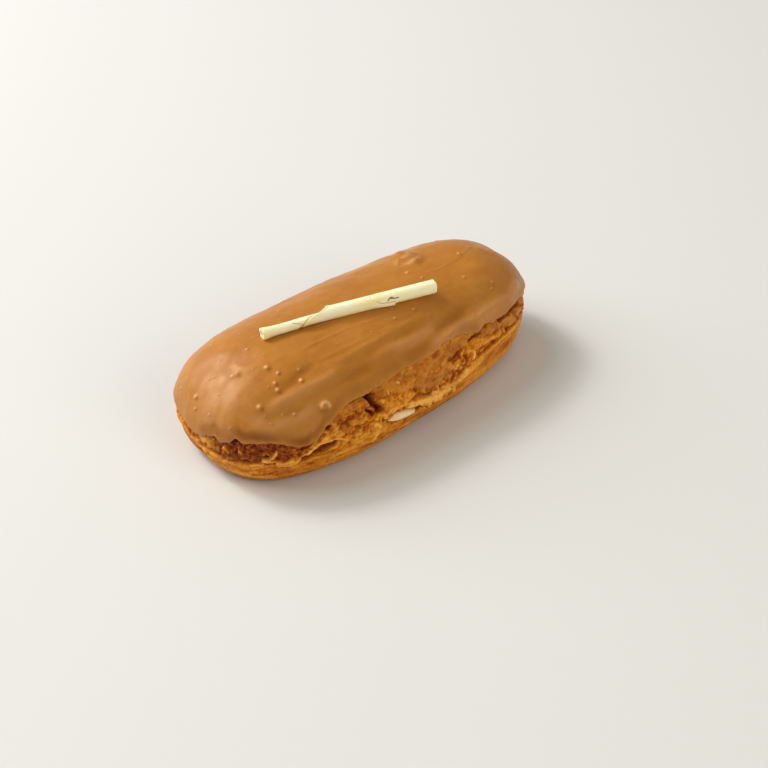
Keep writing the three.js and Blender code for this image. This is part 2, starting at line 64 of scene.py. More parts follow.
# Body of the bun: plan outline and cross-section.
HALF_LENGTH = 64.6
HALF_WIDTH = 30.3
END_POWER = 2.38
SIDE_POWER = 2.67
BOW = -4.35
SPINE_HALF = 37.6
# Waves of the outline: turns, cosine share, sine share.
UNEVEN = [(1, -0.018, 0.024), (2, 0.013, -0.009), (3, 0.037, -0.026), (4, -0.009, -0.004)]
BODY_HEIGHT = 35.0
WIDEST_HEIGHT = 11.9
DOME_POWER = 2.15
FOOT_SHARE = 0.244
FLOOR_TURN = -45.0
CREST_TURN = 89.3

GAP = 0.3
ICING_THICK = 1.5

# Lower edge of the icing: distance round the bun from its front middle, height.
ICING_EDGE = [
    (-150, 16.2), (-128, 17.4), (-110, 16.2), (-97, 15.7), (-90, 15.7), (-84, 14.2), (-80, 14.6),
    (-76.5, 16.4), (-73.6, 17.6), (-71, 16.8), (-68.5, 17.6), (-66, 19.3), (-63.5, 18.4), (-57, 18.8),
    (-52, 18), (-46, 16.3), (-43.5, 15.9), (-41.6, 16.5), (-39, 18.2), (-36.5, 20.2), (-34, 21.5),
    (-31, 22.8), (-27, 23.8), (-12, 24.5), (-6, 25.1), (7, 24.6), (14, 25.6), (21, 25.2), (26, 24),
    (29.8, 22.9), (33, 23.6), (38, 22.4), (44, 21.8), (55, 21.5), (62, 19.6), (70, 17.8), (88, 16.6),
    (112, 17.6), (134, 16.4),
]

# Split line round the bun where the upper crust lifted off the base.
SEAM = [
    (-145, 10.5), (-120, 9.5), (-97, 9.2), (-82, 9.3), (-70, 10.4), (-60, 10.9), (-50, 10.4),
    (-40, 10.3), (-24, 11.3), (-14, 11.7), (-8, 11.4), (0, 10.3), (5, 8.4), (11, 8.4), (16, 9.4),
    (20, 12), (27, 15), (34, 15.9), (44, 15.4), (56, 14.6), (68, 11.5), (90, 10.4), (120, 9.6),
]

# How far the split gapes: distance round the bun, share.
SEAM_GAPE = [
    (-140, 0.7), (-110, 0.5), (-90, 0.35), (-70, 0.5), (-44, 0.6), (-33, 0.1), (-18, 0.05),
    (-13, 0.3), (-1, 0.8), (6, 0.75), (12, 0.5), (17, 0.25), (24, 0.25), (30, 0.7), (42, 0.7),
    (56, 0.9), (66, 0.5), (90, 0.6), (115, 0.45),
]

# Cream and the slit it shows through.
CREAM_HALF = (48, 14, 6.5)
CREAM_CENTRE = (0, -2.5, 13.5)
SLIT_FROM = -14.6
SLIT_TO = 1.3
SLIT_START_HEIGHT = 11.8
SLIT_END_HEIGHT = 10.2
SLIT_HALF_GAPE = 1.75
SLIT_END_GAPE = 0.12
SLIT_POWER = 2.2
SLIT_WIDEST = -9.2
TONGUE_TO = -1.8
TONGUE_BACK = -8
CREAM_FRONT = -33.6
SLIT_FRONT = -37

# Chocolate stick: a thin inner roll that comes out of a wider outer roll.
INNER_FROM = (-36.9, 0.6, 38.35)
INNER_TO = (-16.35, -4.6, 38.35)
INNER_TO_SHARE = 0.36
INNER_RADIUS = 1.6
OUTER_FROM = (-19.65, -3.2, 38.9)
OUTER_FROM_SHARE = 0.3
OUTER_TO = (21.4, -14.8, 38.2)
OUTER_RADIUS = 2.25

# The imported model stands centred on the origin. Its cream log gives the shift from the bun's own frame.
cream_low, cream_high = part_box("cream")
SHIFT = np.array([
    (cream_low.x + cream_high.x) / 2 / MM - CREAM_CENTRE[0],
    cream_high.y / MM - CREAM_CENTRE[1] - CREAM_HALF[1],
    cad_low[2] / MM,
])


# ---------- Small maths ----------

def smooth(low, high, value):
    share = np.clip((value - low) / (high - low), 0, 1)
    return share * share * (3 - 2 * share)


def bell(value, middle, reach):
    return np.exp(-(((value - middle) / reach) ** 2))


def lattice(i, j, k, seed):
    h = (i * 374761393 + j * 668265263 + k * 1440662683 + seed * 974634777).astype(np.uint32)
    h = (h ^ (h >> 13)) * np.uint32(1274126177)
    h = h ^ (h >> 16)
    return h.astype(float) / 2147483648.0 - 1


def noise(x, y, z=0.0, seed=0):
    """Smooth noise from -1 to 1 on a unit grid."""
    x, y, z = np.broadcast_arrays(x, y, z)
    i, j, k = (np.floor(v).astype(np.int64) for v in (x, y, z))
    a, b, c = (smooth(0, 1, v - np.floor(v)) for v in (x, y, z))
    total = 0
    for di in (0, 1):
        for dj in (0, 1):
            for dk in (0, 1):
                weight = (a if di else 1 - a) * (b if dj else 1 - b) * (c if dk else 1 - c)
                total = total + weight * lattice(i + di, j + dj, k + dk, seed)
    return total


def rough(x, y, z=0.0, seed=0, octaves=3):
    """Noise with finer and weaker octaves added."""
    total, size, weight = 0, 1.0, 1.0
    for octave in range(octaves):
        total = total + weight * noise(x * size, y * size, z * size, seed + 17 * octave)
        size, weight = size * 2.03, weight * 0.5
    return total


def cells(x, y, z, seed, scatter=0.42):
    """Scattered cells on a unit grid: distance to the nearest border, and each cell's number from -1 to 1."""
    i, j, k = (np.floor(v).astype(np.int64) for v in (x, y, z))
    first, second = np.full(np.shape(x), 9.0), np.full(np.shape(x), 9.0)
    number = np.zeros(np.shape(x))
    for step in np.ndindex(3, 3, 3):
        cell = [whole + offset - 1 for whole, offset in zip((i, j, k), step)]
        middles = [c + scatter * lattice(*cell, seed + n) for n, c in enumerate(cell)]
        away = [v - middle - 0.5 for v, middle in zip((x, y, z), middles)]
        distance = np.sqrt(sum(d * d for d in away))
        closer = distance < first
        second = np.where(closer, first, np.minimum(second, distance))
        number = np.where(closer, lattice(*cell, seed + 5), number)
        first = np.where(closer, distance, first)
    return second - first, number


def solid_noise(points, wide, high, seed, octaves=1):
    """Rough noise in space, with features of the given width and height."""
    x, y, z = (points[..., axis] for axis in range(3))
    return rough(x / wide, y / wide, z / high, seed, octaves)


def raise_tones(tones, **shares):
    for name, share in shares.items():
        tones[name] = np.maximum(tones[name], share)


def circled(arc):
    """Places on a circle as long as the outline, so that noise round the bun meets itself."""
    reach = outline_length / (2 * math.pi)
    return reach * np.cos(arc / reach), reach * np.sin(arc / reach)


def round_noise(arc, size, seed, level=0.0):
    cx, cy = circled(arc)
    return noise(cx / size, cy / size, level, seed)


def wrapped(arc):
    """Distance round the bun from its front middle, to either side."""
    half = outline_length / 2
    return (arc + half) % outline_length - half


def on_run(run, arc):
    """Value of a closed run of (distance, value) pairs, eased between neighbours."""
    at = wrapped(arc)
    places, values = np.array(run, float).T
    places = np.r_[places[-1] - outline_length, places, places[0] + outline_length]
    values = np.r_[values[-1], values, values[0]]
    upper = np.clip(np.searchsorted(places, at, side="right"), 1, len(places) - 1)
    low, high = places[upper - 1], places[upper]
    return values[upper - 1] + (values[upper] - values[upper - 1]) * smooth(low, high, at)


def distance_to(path, u, v):
    """Distance from points (u, v) to a broken line, whose path is written u, v, u, v and so on."""
    nearest = np.full(np.shape(u), 1e9)
    corners = list(zip(path[::2], path[1::2]))
    for (ax, ay), (bx, by) in zip(corners[:-1], corners[1:]):
        length2 = (bx - ax) ** 2 + (by - ay) ** 2
        share = np.clip(((u - ax) * (bx - ax) + (v - ay) * (by - ay)) / length2, 0, 1)
        nearest = np.minimum(nearest, np.hypot(u - ax - share * (bx - ax), v - ay - share * (by - ay)))
    return nearest


def stroke(path, half, u, v):
    """Soft line along the path, fading towards both its ends."""
    fade = 1.0
    for end_u, end_v in (path[:2], path[-2:]):
        fade = fade * (0.15 + 0.85 * smooth(0, 4 * half, np.hypot(u - end_u, v - end_v)))
    return fade * np.exp(-((distance_to(path, u, v) / half) ** 2))


def patch(path, half, u, v, soft=0.5):
    """Like a stroke, with a flat middle and a crisper edge."""
    return 1 - smooth(half * (1 - soft), half * (1 + soft), distance_to(path, u, v))


# ---------- Surface of the bun ----------

def signed_power(value, power):
    return np.sign(value) * np.abs(value) ** power


def measure_outline(samples=4000):
    angle = np.linspace(-math.pi / 2, 1.5 * math.pi, samples + 1)
    grow = 1 + sum(a * np.cos(k * angle) + b * np.sin(k * angle) for k, a, b in UNEVEN)
    x = HALF_LENGTH * signed_power(np.cos(angle), 2 / END_POWER) * grow
    y = HALF_WIDTH * signed_power(np.sin(angle), 2 / SIDE_POWER) * grow
    y = y + BOW * (1 - (x / HALF_LENGTH) ** 2)
    reach = np.r_[0, np.cumsum(np.hypot(np.diff(x), np.diff(y)))]
    return x, y, reach


outline_x, outline_y, outline_reach = measure_outline()
outline_length = outline_reach[-1]


def body_point(arc, turn):
    """Smooth bun: turn -45 is the floor's rim, 0 the widest line, 90 the crest."""
    wanted = arc % outline_length
    ex = np.interp(wanted, outline_reach, outline_x)
    ey = np.interp(wanted, outline_reach, outline_y)
    mx = ex / (1 + (ex / SPINE_HALF) ** 4) ** 0.25
    my = BOW * (1 - (mx / HALF_LENGTH) ** 2)
    dome = np.radians(np.clip(turn, 0, 90))
    foot = np.radians(np.clip(-2 * turn, 0, 90))
    upper = turn >= 0
    reach = np.where(upper, np.cos(dome) ** (2 / DOME_POWER), 1 - FOOT_SHARE * (1 - np.cos(foot)))
    rise = WIDEST_HEIGHT + (BODY_HEIGHT - WIDEST_HEIGHT) * np.sin(dome) ** (2 / DOME_POWER)
    height = np.where(upper, rise, WIDEST_HEIGHT * (1 - np.sin(foot)))
    return np.stack([mx + reach * (ex - mx), my + reach * (ey - my), height], -1)


def body_normal(arc, turn):
    along = body_point(arc + 0.5, turn) - body_point(arc - 0.5, turn)
    low, high = np.maximum(turn - 0.5, FLOOR_TURN), np.minimum(turn + 0.5, 89.9)
    normal = np.cross(along, body_point(arc, high) - body_point(arc, low))
    return normal / np.linalg.norm(normal, axis=-1, keepdims=True)


def turn_at_height(height):
    below = np.clip(1 - height / WIDEST_HEIGHT, 0, 1)
    above = np.clip((height - WIDEST_HEIGHT) / (BODY_HEIGHT - WIDEST_HEIGHT), 0, 1)
    upper = np.degrees(np.arcsin(above ** (DOME_POWER / 2)))
    return np.where(height < WIDEST_HEIGHT, -np.degrees(np.arcsin(below)) / 2, upper)


def grow_out(arc, turn, lift):
    """Points at a distance from the smooth bun, along its normals."""
    return body_point(arc, turn) + body_normal(arc, turn) * np.asarray(lift)[..., None]


# ---------- Meshes ----------

def make_piece(name, points, faces, material, tones=None):
    """Object in metres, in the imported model's frame, with one float attribute for each tone."""
    mesh = bpy.data.meshes.new(name)
    mesh.from_pydata(((points + SHIFT) * MM).tolist(), [], faces)
    mesh.polygons.foreach_set("use_smooth", [True] * len(mesh.polygons))
    for tone, values in (tones or {}).items():
        data = mesh.attributes.new(tone, "FLOAT", "POINT").data
        data.foreach_set("value", values.reshape(-1).astype(np.float32))
    mesh.materials.append(material)
    mesh.update()
    piece = bpy.data.objects.new(name, mesh)
    bpy.context.scene.collection.objects.link(piece)
    return piece


def ring_faces(rings, columns):
    ring = np.arange(rings - 1)[:, None] * columns
    here = np.arange(columns)[None, :]
    after = (here + 1) % columns
    quads = np.stack([ring + here, ring + after, ring + columns + after, ring + columns + here], -1)
    return quads.reshape(-1, 4).tolist()


def zip_faces(points, start, count, facing_up):
    """Closes a long ring with a strip of triangles between its front and back runs."""
    x = points[start:start + count, 0]
    left, right = int(x.argmin()), int(x.argmax())
    front = [start + i % count for i in range(left, left + (right - left) % count + 1)]
    back = [start + i % count for i in range(left + count, left + count - (left - right) % count - 1, -1)]
    faces, i, j = [], 0, 0
    while i < len(front) - 1 or j < len(back) - 1:
        front_next = points[front[i + 1], 0] if i < len(front) - 1 else math.inf
        back_next = points[back[j + 1], 0] if j < len(back) - 1 else math.inf
        if front_next <= back_next:
            face = [front[i], front[i + 1], back[j]]
            i += 1
        else:
            face = [front[i], back[j + 1], back[j]]
            j += 1
        if len(set(face)) == 3:
            faces.append(face if facing_up else face[::-1])
    return faces


def zipped_skin(grid):
    """Points and faces of a closed skin through a (ring, column) grid, zipped at both ends."""
    rings, columns = grid.shape[:2]
    points = grid.reshape(-1, 3)
    faces = ring_faces(rings, columns)
    faces += zip_faces(points, 0, columns, False)
    faces += zip_faces(points, (rings - 1) * columns, columns, True)
    return points, faces


def capped_skin(rings):
    """Points and faces of a closed skin through rings of equal count, with a middle point at each end."""
    rings = np.asarray(rings, float)
    count, columns = rings.shape[:2]
    points = np.concatenate([rings.reshape(-1, 3), [rings[0].mean(0)], [rings[-1].mean(0)]])
    faces = ring_faces(count, columns)
    first, last, top = count * columns, count * columns + 1, (count - 1) * columns
    for i in range(columns):
        j = (i + 1) % columns
        faces.append([first, j, i])
        faces.append([last, top + i, top + j])
    return points, faces


# ---------- Icing ----------

# Bubbles of the icing seen from above: x, y, radius, rise.
BUBBLES = [
    (-51.3, -5.9, 1.35, 0.85), (-61.6, 2.5, 1.0, 0.6), (-51.1, 3.4, 0.5, 0.35), (-52.5, 2.4, 0.4, 0.2),
    (-43.2, -0.4, 0.7, 0.35), (-49.6, -3.3, 0.6, 0.3), (-43.9, -11.1, 1.25, 0.5), (-42.3, -14.2, 0.85, 0.55),
    (-55.8, 0.8, 0.5, 0.3), (-56.9, 1.8, 0.45, 0.3), (-58.4, -4.7, 0.5, 0.2), (-63.2, 1.0, 0.7, 0.4),
    (-61, 11.6, 0.7, 0.4), (-62.6, -5.8, 0.55, 0.35), (-46, -18.2, 1.1, 0.75), (-45.3, -16.4, 0.95, 0.6),
    (-47.3, -16.2, 0.45, 0.3), (-37.4, -20, 1.05, 0.65), (-36, -16.7, 0.8, 0.3), (-53, -18.1, 1.3, 0.8),
    (-52.7, -20.8, 0.5, 0.3), (-52.4, -22.4, 0.5, 0.2), (-45, -25.1, 0.8, 0.35), (-48.1, -23.6, 0.5, 0.25),
    (-61.4, -14, 0.6, 0.25), (-39.5, 9, 0.6, 0.25), (-52.9, -4.9, 1.1, 0.4), (-47.5, -8.5, 0.45, 0.2),
    (-41, -6, 0.5, 0.18),
    (41.6, -4.4, 1.0, 0.55), (11.5, -16.9, 0.9, 0.6), (5, -13.2, 0.6, 0.3), (2.8, -16.5, 0.7, 0.35),
    (21.4, -1.7, 1.0, 0.45), (23, -7, 0.7, 0.4), (23.9, 5.6, 1.2, 0.65), (22.6, 4.4, 0.9, 0.45),
    (43.8, -18.5, 0.9, 0.25), (42.1, -20.2, 0.6, 0.3), (35.7, -13.9, 0.9, 0.2), (29.9, -25, 0.7, 0.3),
    (-6.5, -17, 0.5, 0.2), (-12, -20, 0.5, 0.2), (-20, -15.5, 0.45, 0.18), (52, 2, 0.6, 0.2),
    (-5, 14, 0.7, 0.22), (14, 13, 0.6, 0.2), (-22, 11, 0.8, 0.25), (-30, 17, 0.7, 0.3), (46, 11, 0.8, 0.3),
    (5, 21, 0.9, 0.3), (-47, 13.5, 0.8, 0.35), (57, -6, 0.7, 0.3), (-14, 19, 0.5, 0.2), (28, 20, 0.6, 0.25),
]

# A burst bubble with a raised rim: x, y, radius, rise.
RING_BUBBLE = (-35.2, -28.25, 2.0, 0.9)

# Larger lumps: x, y, radius, rise.
LUMPS = [
    (24.5, 5.4, 1.7, 0.7), (27.6, 4.4, 2.0, 0.9), (30.4, 6.8, 1.7, 0.8), (27.6, 1.2, 1.5, 0.7),
    (29, 11, 1.8, 0.8), (-50.5, -6.5, 2.6, 0.25), (-56, -12, 3.5, 0.3), (-60, 6, 3, 0.25), (-47, 3, 3.5, 0.2),
]

# The icing's left end is mottled round this place: small bumps, with painted sheen on its paler patches and
# painted shade between them.
MOTTLED_AT = (-54.5, -4)
MOTTLED_REACH = 9
MOTTLE_SIZE = 2.4

# Stretches of the icing's low band that get the most painted shade: distance round the bun, reach.
LOW_SHADE_SPOTS = [(-61.5, 8), (-45.4, 5), (-76.8, 3.5)]

# Places of a bubble's painted glint and painted shade, from its middle, in radii.
PAINTED_GLINT_SIDE = (-0.12, 0.22, 0.12)
PAINTED_SHADE_SIDE = (0.12, -0.5, -0.3)

# Soft ridges (+) and grooves (-) of the icing seen from above: path, half width, rise.
ICING_STROKES = [
    ((23.8, 3, 27.2, 1.3, 30, 1.7, 31.4, 3.4, 32, 6), 1.1, 0.35),
    ((25, 7, 28.5, 9.5, 33, 12), 1.3, 0.4),
    ((22, 3, 28, 5.4, 33, 9), 2.6, 0.8),
    ((24.5, 1, 27.5, -0.6, 31, -0.2, 33.4, 3), 1.0, -0.2),
    ((32.5, 9, 35.5, 13, 38.5, 17.5), 1.2, -0.3),
    ((29.5, 12, 33.5, 16, 36, 19), 1.3, 0.3),
    ((-51.5, -19.6, -46.2, -21, -43, -21.8, -37, -22.4, -30, -23, -20, -22.6), 1.3, 0.55),
    ((-50, -18.6, -45.5, -19.4, -41.4, -18.9, -36.6, -17.6, -28, -17.8), 1.6, -0.5),
    ((-38.4, -19, -35.4, -18.4, -32, -18.6), 1.0, -0.3),
    ((-51, -22.4, -47.5, -23.6, -44, -24.8, -38, -25.4), 1.3, -0.6),
    ((-57, -19, -52, -24.6, -45, -27.4, -40, -28.6), 1.3, 0.3),
    ((-65.4, -2, -64.4, -7, -62, -12), 1.7, -0.45),
    ((-63, 16, -65, 10, -66, 3), 4.5, -0.6),
    ((-36, -24.6, -28, -25.2, -20, -25.6, -12, -25.4), 1.5, -0.4),
    ((-34, -21.6, -20, -22.8, -6, -22, 10, -22, 20, -23), 1.6, -0.25),
    ((-33, -23.4, -20, -24.6, -4, -24.1, 10, -24), 1.2, 0.1),
    ((8, -28.6, 22, -26.4, 30, -26.1, 38.7, -24.6, 48, -22.9, 58, -17), 1.3, 0.8),
    ((10, -25.6, 21, -23.9, 31, -23), 1.7, -0.5),
    ((30, -22.6, 40, -21, 48, -19), 1.6, -0.3),
    ((24.9, -5.7, 31.6, -6.9, 40.3, -6.2, 50.7, -1.6), 0.5, 0.12),
    ((-32, -11.5, -14, -12, 2, -14.5), 0.5, 0.14),
    ((-30, -21.2, -16, -20.6, -2, -20, 12, -20.2), 1.3, 0.28),
    ((34, -10, 42, -13, 50, -12), 2.2, 0.3),
    ((40, 6, 48, 2, 54, -4), 3.0, -0.3),
    ((-30, -17.5, -8, -18.2, 8, -19.6), 0.7, 0.12),
    ((-26, 20.5, -6, 22.5, 14, 22.8), 1.4, -0.25),
    ((-24, 18, -4, 20, 16, 20.2), 1.2, 0.2),
]

# Ridges of the icing given a painted sheen: path, half width, share.
PAINTED_SHEEN_STROKES = [
    ((8, -28.6, 22, -26.4, 30, -26, 38.7, -24.6, 48, -22.9, 58, -17), 1.2, 0.45),
    ((-53, -19.4, -46.2, -21.4, -43, -22.2, -37, -22.8, -28, -23), 1.2, 0.35),
    ((-58, -16, -52.6, -23.4, -46, -26.2, -36, -27.2), 1.3, 0.35),
    ((-60, -10, -62, -2, -58, 8), 3.0, 0.3),
    ((22, 3.6, 25.5, 2, 29.5, 2.4), 0.9, 0.7),
    ((23.5, 5.4, 26, 6.6, 30, 8.2), 0.9, 0.5),
    ((-8, -24, 6, -24.4, 18, -23), 1.6, 0.3),
]

# Columns round the bun: start, where the side that shows ends, fine step, coarse step.
ICING_STEPS = (-122, 62, 0.4, 0.7)
ICING_ROWS = 110
LIP_ROWS = 16
INNER_ROWS = 5

# Lower lip of the icing: rise above its edge, share of its thickness.
LIP = [
    (0.3, 0), (-0.02, 0.1), (-0.15, 0.3), (-0.1, 0.55), (0.25, 0.82), (0.9, 1.02), (1.9, 1.08), (3.2, 1.01),
]
LIP_TOP = 3.5
DOME_LOW = 1.2


def stick_centre(start, end, share):
    return np.asarray(start) + (np.asarray(end) - np.asarray(start)) * np.asarray(share)[..., None]


def inner_centre(share):
    return stick_centre(INNER_FROM, INNER_TO, share / INNER_TO_SHARE)


def outer_centre(share):
    return stick_centre(OUTER_FROM, OUTER_TO, (share - OUTER_FROM_SHARE) / (1 - OUTER_FROM_SHARE))


def press_roll(points, start, end, radius, clear=0.04):
    """Pushes points out of a round bar, and raises a small rim beside it."""
    start, end = np.asarray(start, float), np.asarray(end, float)
    length = np.linalg.norm(end - start)
    axis = (end - start) / length
    along = (points - start) @ axis
    inside = smooth(-0.6, 0.1, along) * (1 - smooth(length - 0.1, length + 0.6, along))
    off = points - start - along[..., None] * axis
    distance = np.linalg.norm(off, axis=-1)
    below = off[..., 2] < 0
    push = np.where(below, np.clip(radius + clear - distance, 0, None), 0) * (inside > 0)
    points = points + off / distance[..., None] * push[..., None]
    points[..., 2] += 0.12 * inside * bell(distance, radius + 0.5, 0.45)
    return points


def skin_above():
    arcs, turns = np.meshgrid(np.arange(-160, 161, 1.0), np.arange(10, 89, 1.0))
    return grow_out(arcs, turns, GAP + ICING_THICK).reshape(-1, 3)


dome_skin = skin_above()


def over_dome(x, y):
    """Point of the icing's skin above a place of the plan."""
    return dome_skin[np.argmin(np.hypot(dome_skin[:, 0] - x, dome_skin[:, 1] - y))]


def away_from(points, centre, offset=(0, 0, 0)):
    return np.linalg.norm(points - centre - np.array(offset), axis=-1)


def mottling(x, y):
    """Reach of the mottled left end, from 0 to 1, and its noise from -1 to 1."""
    reach = bell(np.hypot(x - MOTTLED_AT[0], y - MOTTLED_AT[1]), 0, MOTTLED_REACH)
    return reach, noise(x / MOTTLE_SIZE, y / MOTTLE_SIZE, seed=27)


def icing_relief(points, arc):
    """Rise of the icing along its normals, in millimetres."""
    x, y = points[..., 0], points[..., 1]
    above_edge = points[..., 2] - edge_height(arc)
    relief = -0.28 * bell(above_edge, 3.3, 1.5) * (0.6 + 0.8 * round_noise(arc, 7, 24))
    relief += 0.15 * noise(x / 15, y / 9, seed=3) + 0.13 * rough(x / 6.5, y / 4.5, seed=5, octaves=2)
    streaks = smooth(-6, -22, y) * (1 - smooth(75, 95, np.abs(arc)))
    relief += (0.02 + 0.05 * streaks) * noise(x / 17 + 0.2 * y, y / 1.7, seed=8)
    relief += 0.014 * rough(x / 1.2, y / 1.0, points[..., 2] / 1.2, seed=11, octaves=2)
    near_end, mottle = mottling(x, y)
    relief += 0.07 * near_end * mottle
    for bx, by, radius, rise in BUBBLES:
        relief += 0.85 * rise * bell(away_from(points, over_dome(bx, by)), 0, 0.66 * radius)
    for bx, by, radius, rise in LUMPS:
        relief += rise * bell(away_from(points, over_dome(bx, by)), 0, radius)
    bx, by, radius, rise = RING_BUBBLE
    reach = away_from(points, over_dome(bx, by))
    relief += rise * (np.exp(-((reach / radius) ** 4)) - 0.35 * bell(reach, 0, 0.45 * radius))
    for path, half, rise in ICING_STROKES:
        relief += rise * stroke(path, half, x, y)
    return relief


def icing_tones(points, arc):
    """Painted shade on the low band, painted sheen on pale ridges and the left end, and painted glints and
    amber painted shade on bubbles and in hollows of the icing, from 0 to 1.
    """
    x, y = points[..., 0], points[..., 1]
    above_edge = points[..., 2] - edge_height(arc)
    # The low band, where the icing curls down to its edge, gets painted shade.
    spots = sum(bell(arc, at, reach) for at, reach in LOW_SHADE_SPOTS)
    spots = np.clip(spots + 0.4 * smooth(-0.2, 0.6, round_noise(arc, 8, 23)), 0, 1)
    low = spots * bell(above_edge + 0.5 * noise(x / 3, y / 3, seed=25), 2.8, 1.6)
    # Amber painted shade in the relief's hollows.
    hollow = smooth(0.12, 0.6, -icing_relief(points, arc))
    tones = {"low": low, "pale": np.zeros_like(x), "glint": np.zeros_like(x), "amber": 0.7 * hollow}
    # Each bubble gets a painted glint on its lit side and painted shade on its shaded side.
    for bx, by, radius, rise in BUBBLES:
        centre, strength = over_dome(bx, by), min(1.0, 2.2 * rise)
        lit = away_from(points, centre, np.array(PAINTED_GLINT_SIDE) * radius)
        shaded = away_from(points, centre, np.array(PAINTED_SHADE_SIDE) * radius)
        raise_tones(tones, glint=strength * bell(lit, 0, 0.42 * radius))
        raise_tones(tones, amber=strength * bell(shaded, 0, 0.6 * radius))
    bx, by, radius, rise = RING_BUBBLE
    centre = over_dome(bx, by)
    reach = away_from(points, centre)
    # The ring bubble gets a painted glint on its upper rim and painted shade on its lower half.
    upper = smooth(-0.5, 0.5, points[..., 2] - centre[2] + 0.2 * (x - bx))
    raise_tones(tones, glint=0.6 * bell(reach, 0.8 * radius, 0.18 * radius) * upper)
    raise_tones(tones, amber=bell(reach, 0.8 * radius, 0.4 * radius) * (1 - upper))
    # Painted sheen along the ridges.
    for path, half, share in PAINTED_SHEEN_STROKES:
        raise_tones(tones, pale=share * stroke(path, half, x, y))
    # Painted sheen on the mottled left end, with painted shade between its paler patches.
    near_end, mottle = mottling(x, y)
    raise_tones(tones, pale=near_end * (0.3 + 0.5 * smooth(-0.3, 0.6, mottle)))
    raise_tones(tones, amber=0.5 * near_end * smooth(0.1, 0.7, -mottle))
    return tones


def edge_height(arc):
    """Height of the icing's edge with its small ripples."""
    return on_run(ICING_EDGE, arc) + 0.26 * round_noise(arc, 1.9, 21) + 0.14 * round_noise(arc, 0.8, 22)


def dome_turns(arc, rise, rows):
    low = turn_at_height(edge_height(arc) + rise)
    share = np.linspace(0, 1, rows)[:, None]
    return low + (CREST_TURN - low) * share


def stepped_arcs(steps):
    """Distances round the bun, closer together on the side that shows cream."""
    start, turn_over, fine, coarse = steps
    finish = start + outline_length
    front = np.arange(start, turn_over, fine)
    back = np.linspace(turn_over, finish, int((finish - turn_over) / coarse) + 1)
    arc = np.r_[front, back[:-1]]
    return np.where(arc > outline_length / 2, arc - outline_length, arc)[None, :]


def icing_grid():
    arc = stepped_arcs(ICING_STEPS)
    inner = grow_out(arc, dome_turns(arc, DOME_LOW, INNER_ROWS)[::-1], GAP)
    steps = np.linspace(0, len(LIP) - 1, LIP_ROWS)
    rise, share = (np.interp(steps, range(len(LIP)), column)[:, None] for column in zip(*LIP))
    lip_turns = turn_at_height(edge_height(arc) + rise)
    thick = ICING_THICK * (1 + 0.14 * round_noise(arc, 6, 31) + 0.03 * round_noise(arc, 2, 32))
    lip_lift = GAP + share * thick
    lip_base = grow_out(arc, lip_turns, lip_lift)
    lip = grow_out(arc, lip_turns, lip_lift + smooth(0.5, 1.0, share) * icing_relief(lip_base, arc))
    turns = dome_turns(arc, LIP_TOP, ICING_ROWS)
    base = grow_out(arc, turns, GAP + ICING_THICK)
    outer = base + body_normal(arc, turns) * icing_relief(base, arc)[..., None]
    outer = press_roll(outer, INNER_FROM, INNER_TO, INNER_RADIUS)
    outer = press_roll(outer, OUTER_FROM, OUTER_TO, OUTER_RADIUS)
    grid = np.concatenate([inner, lip, outer])
    return grid, icing_tones(grid, arc)


# ---------- Crust ----------

def mark(half, lift, path, **tones):
    """Raises or sinks the crust along a path of distance round the bun and height, and gives it tones."""
    return path, half, lift, tones


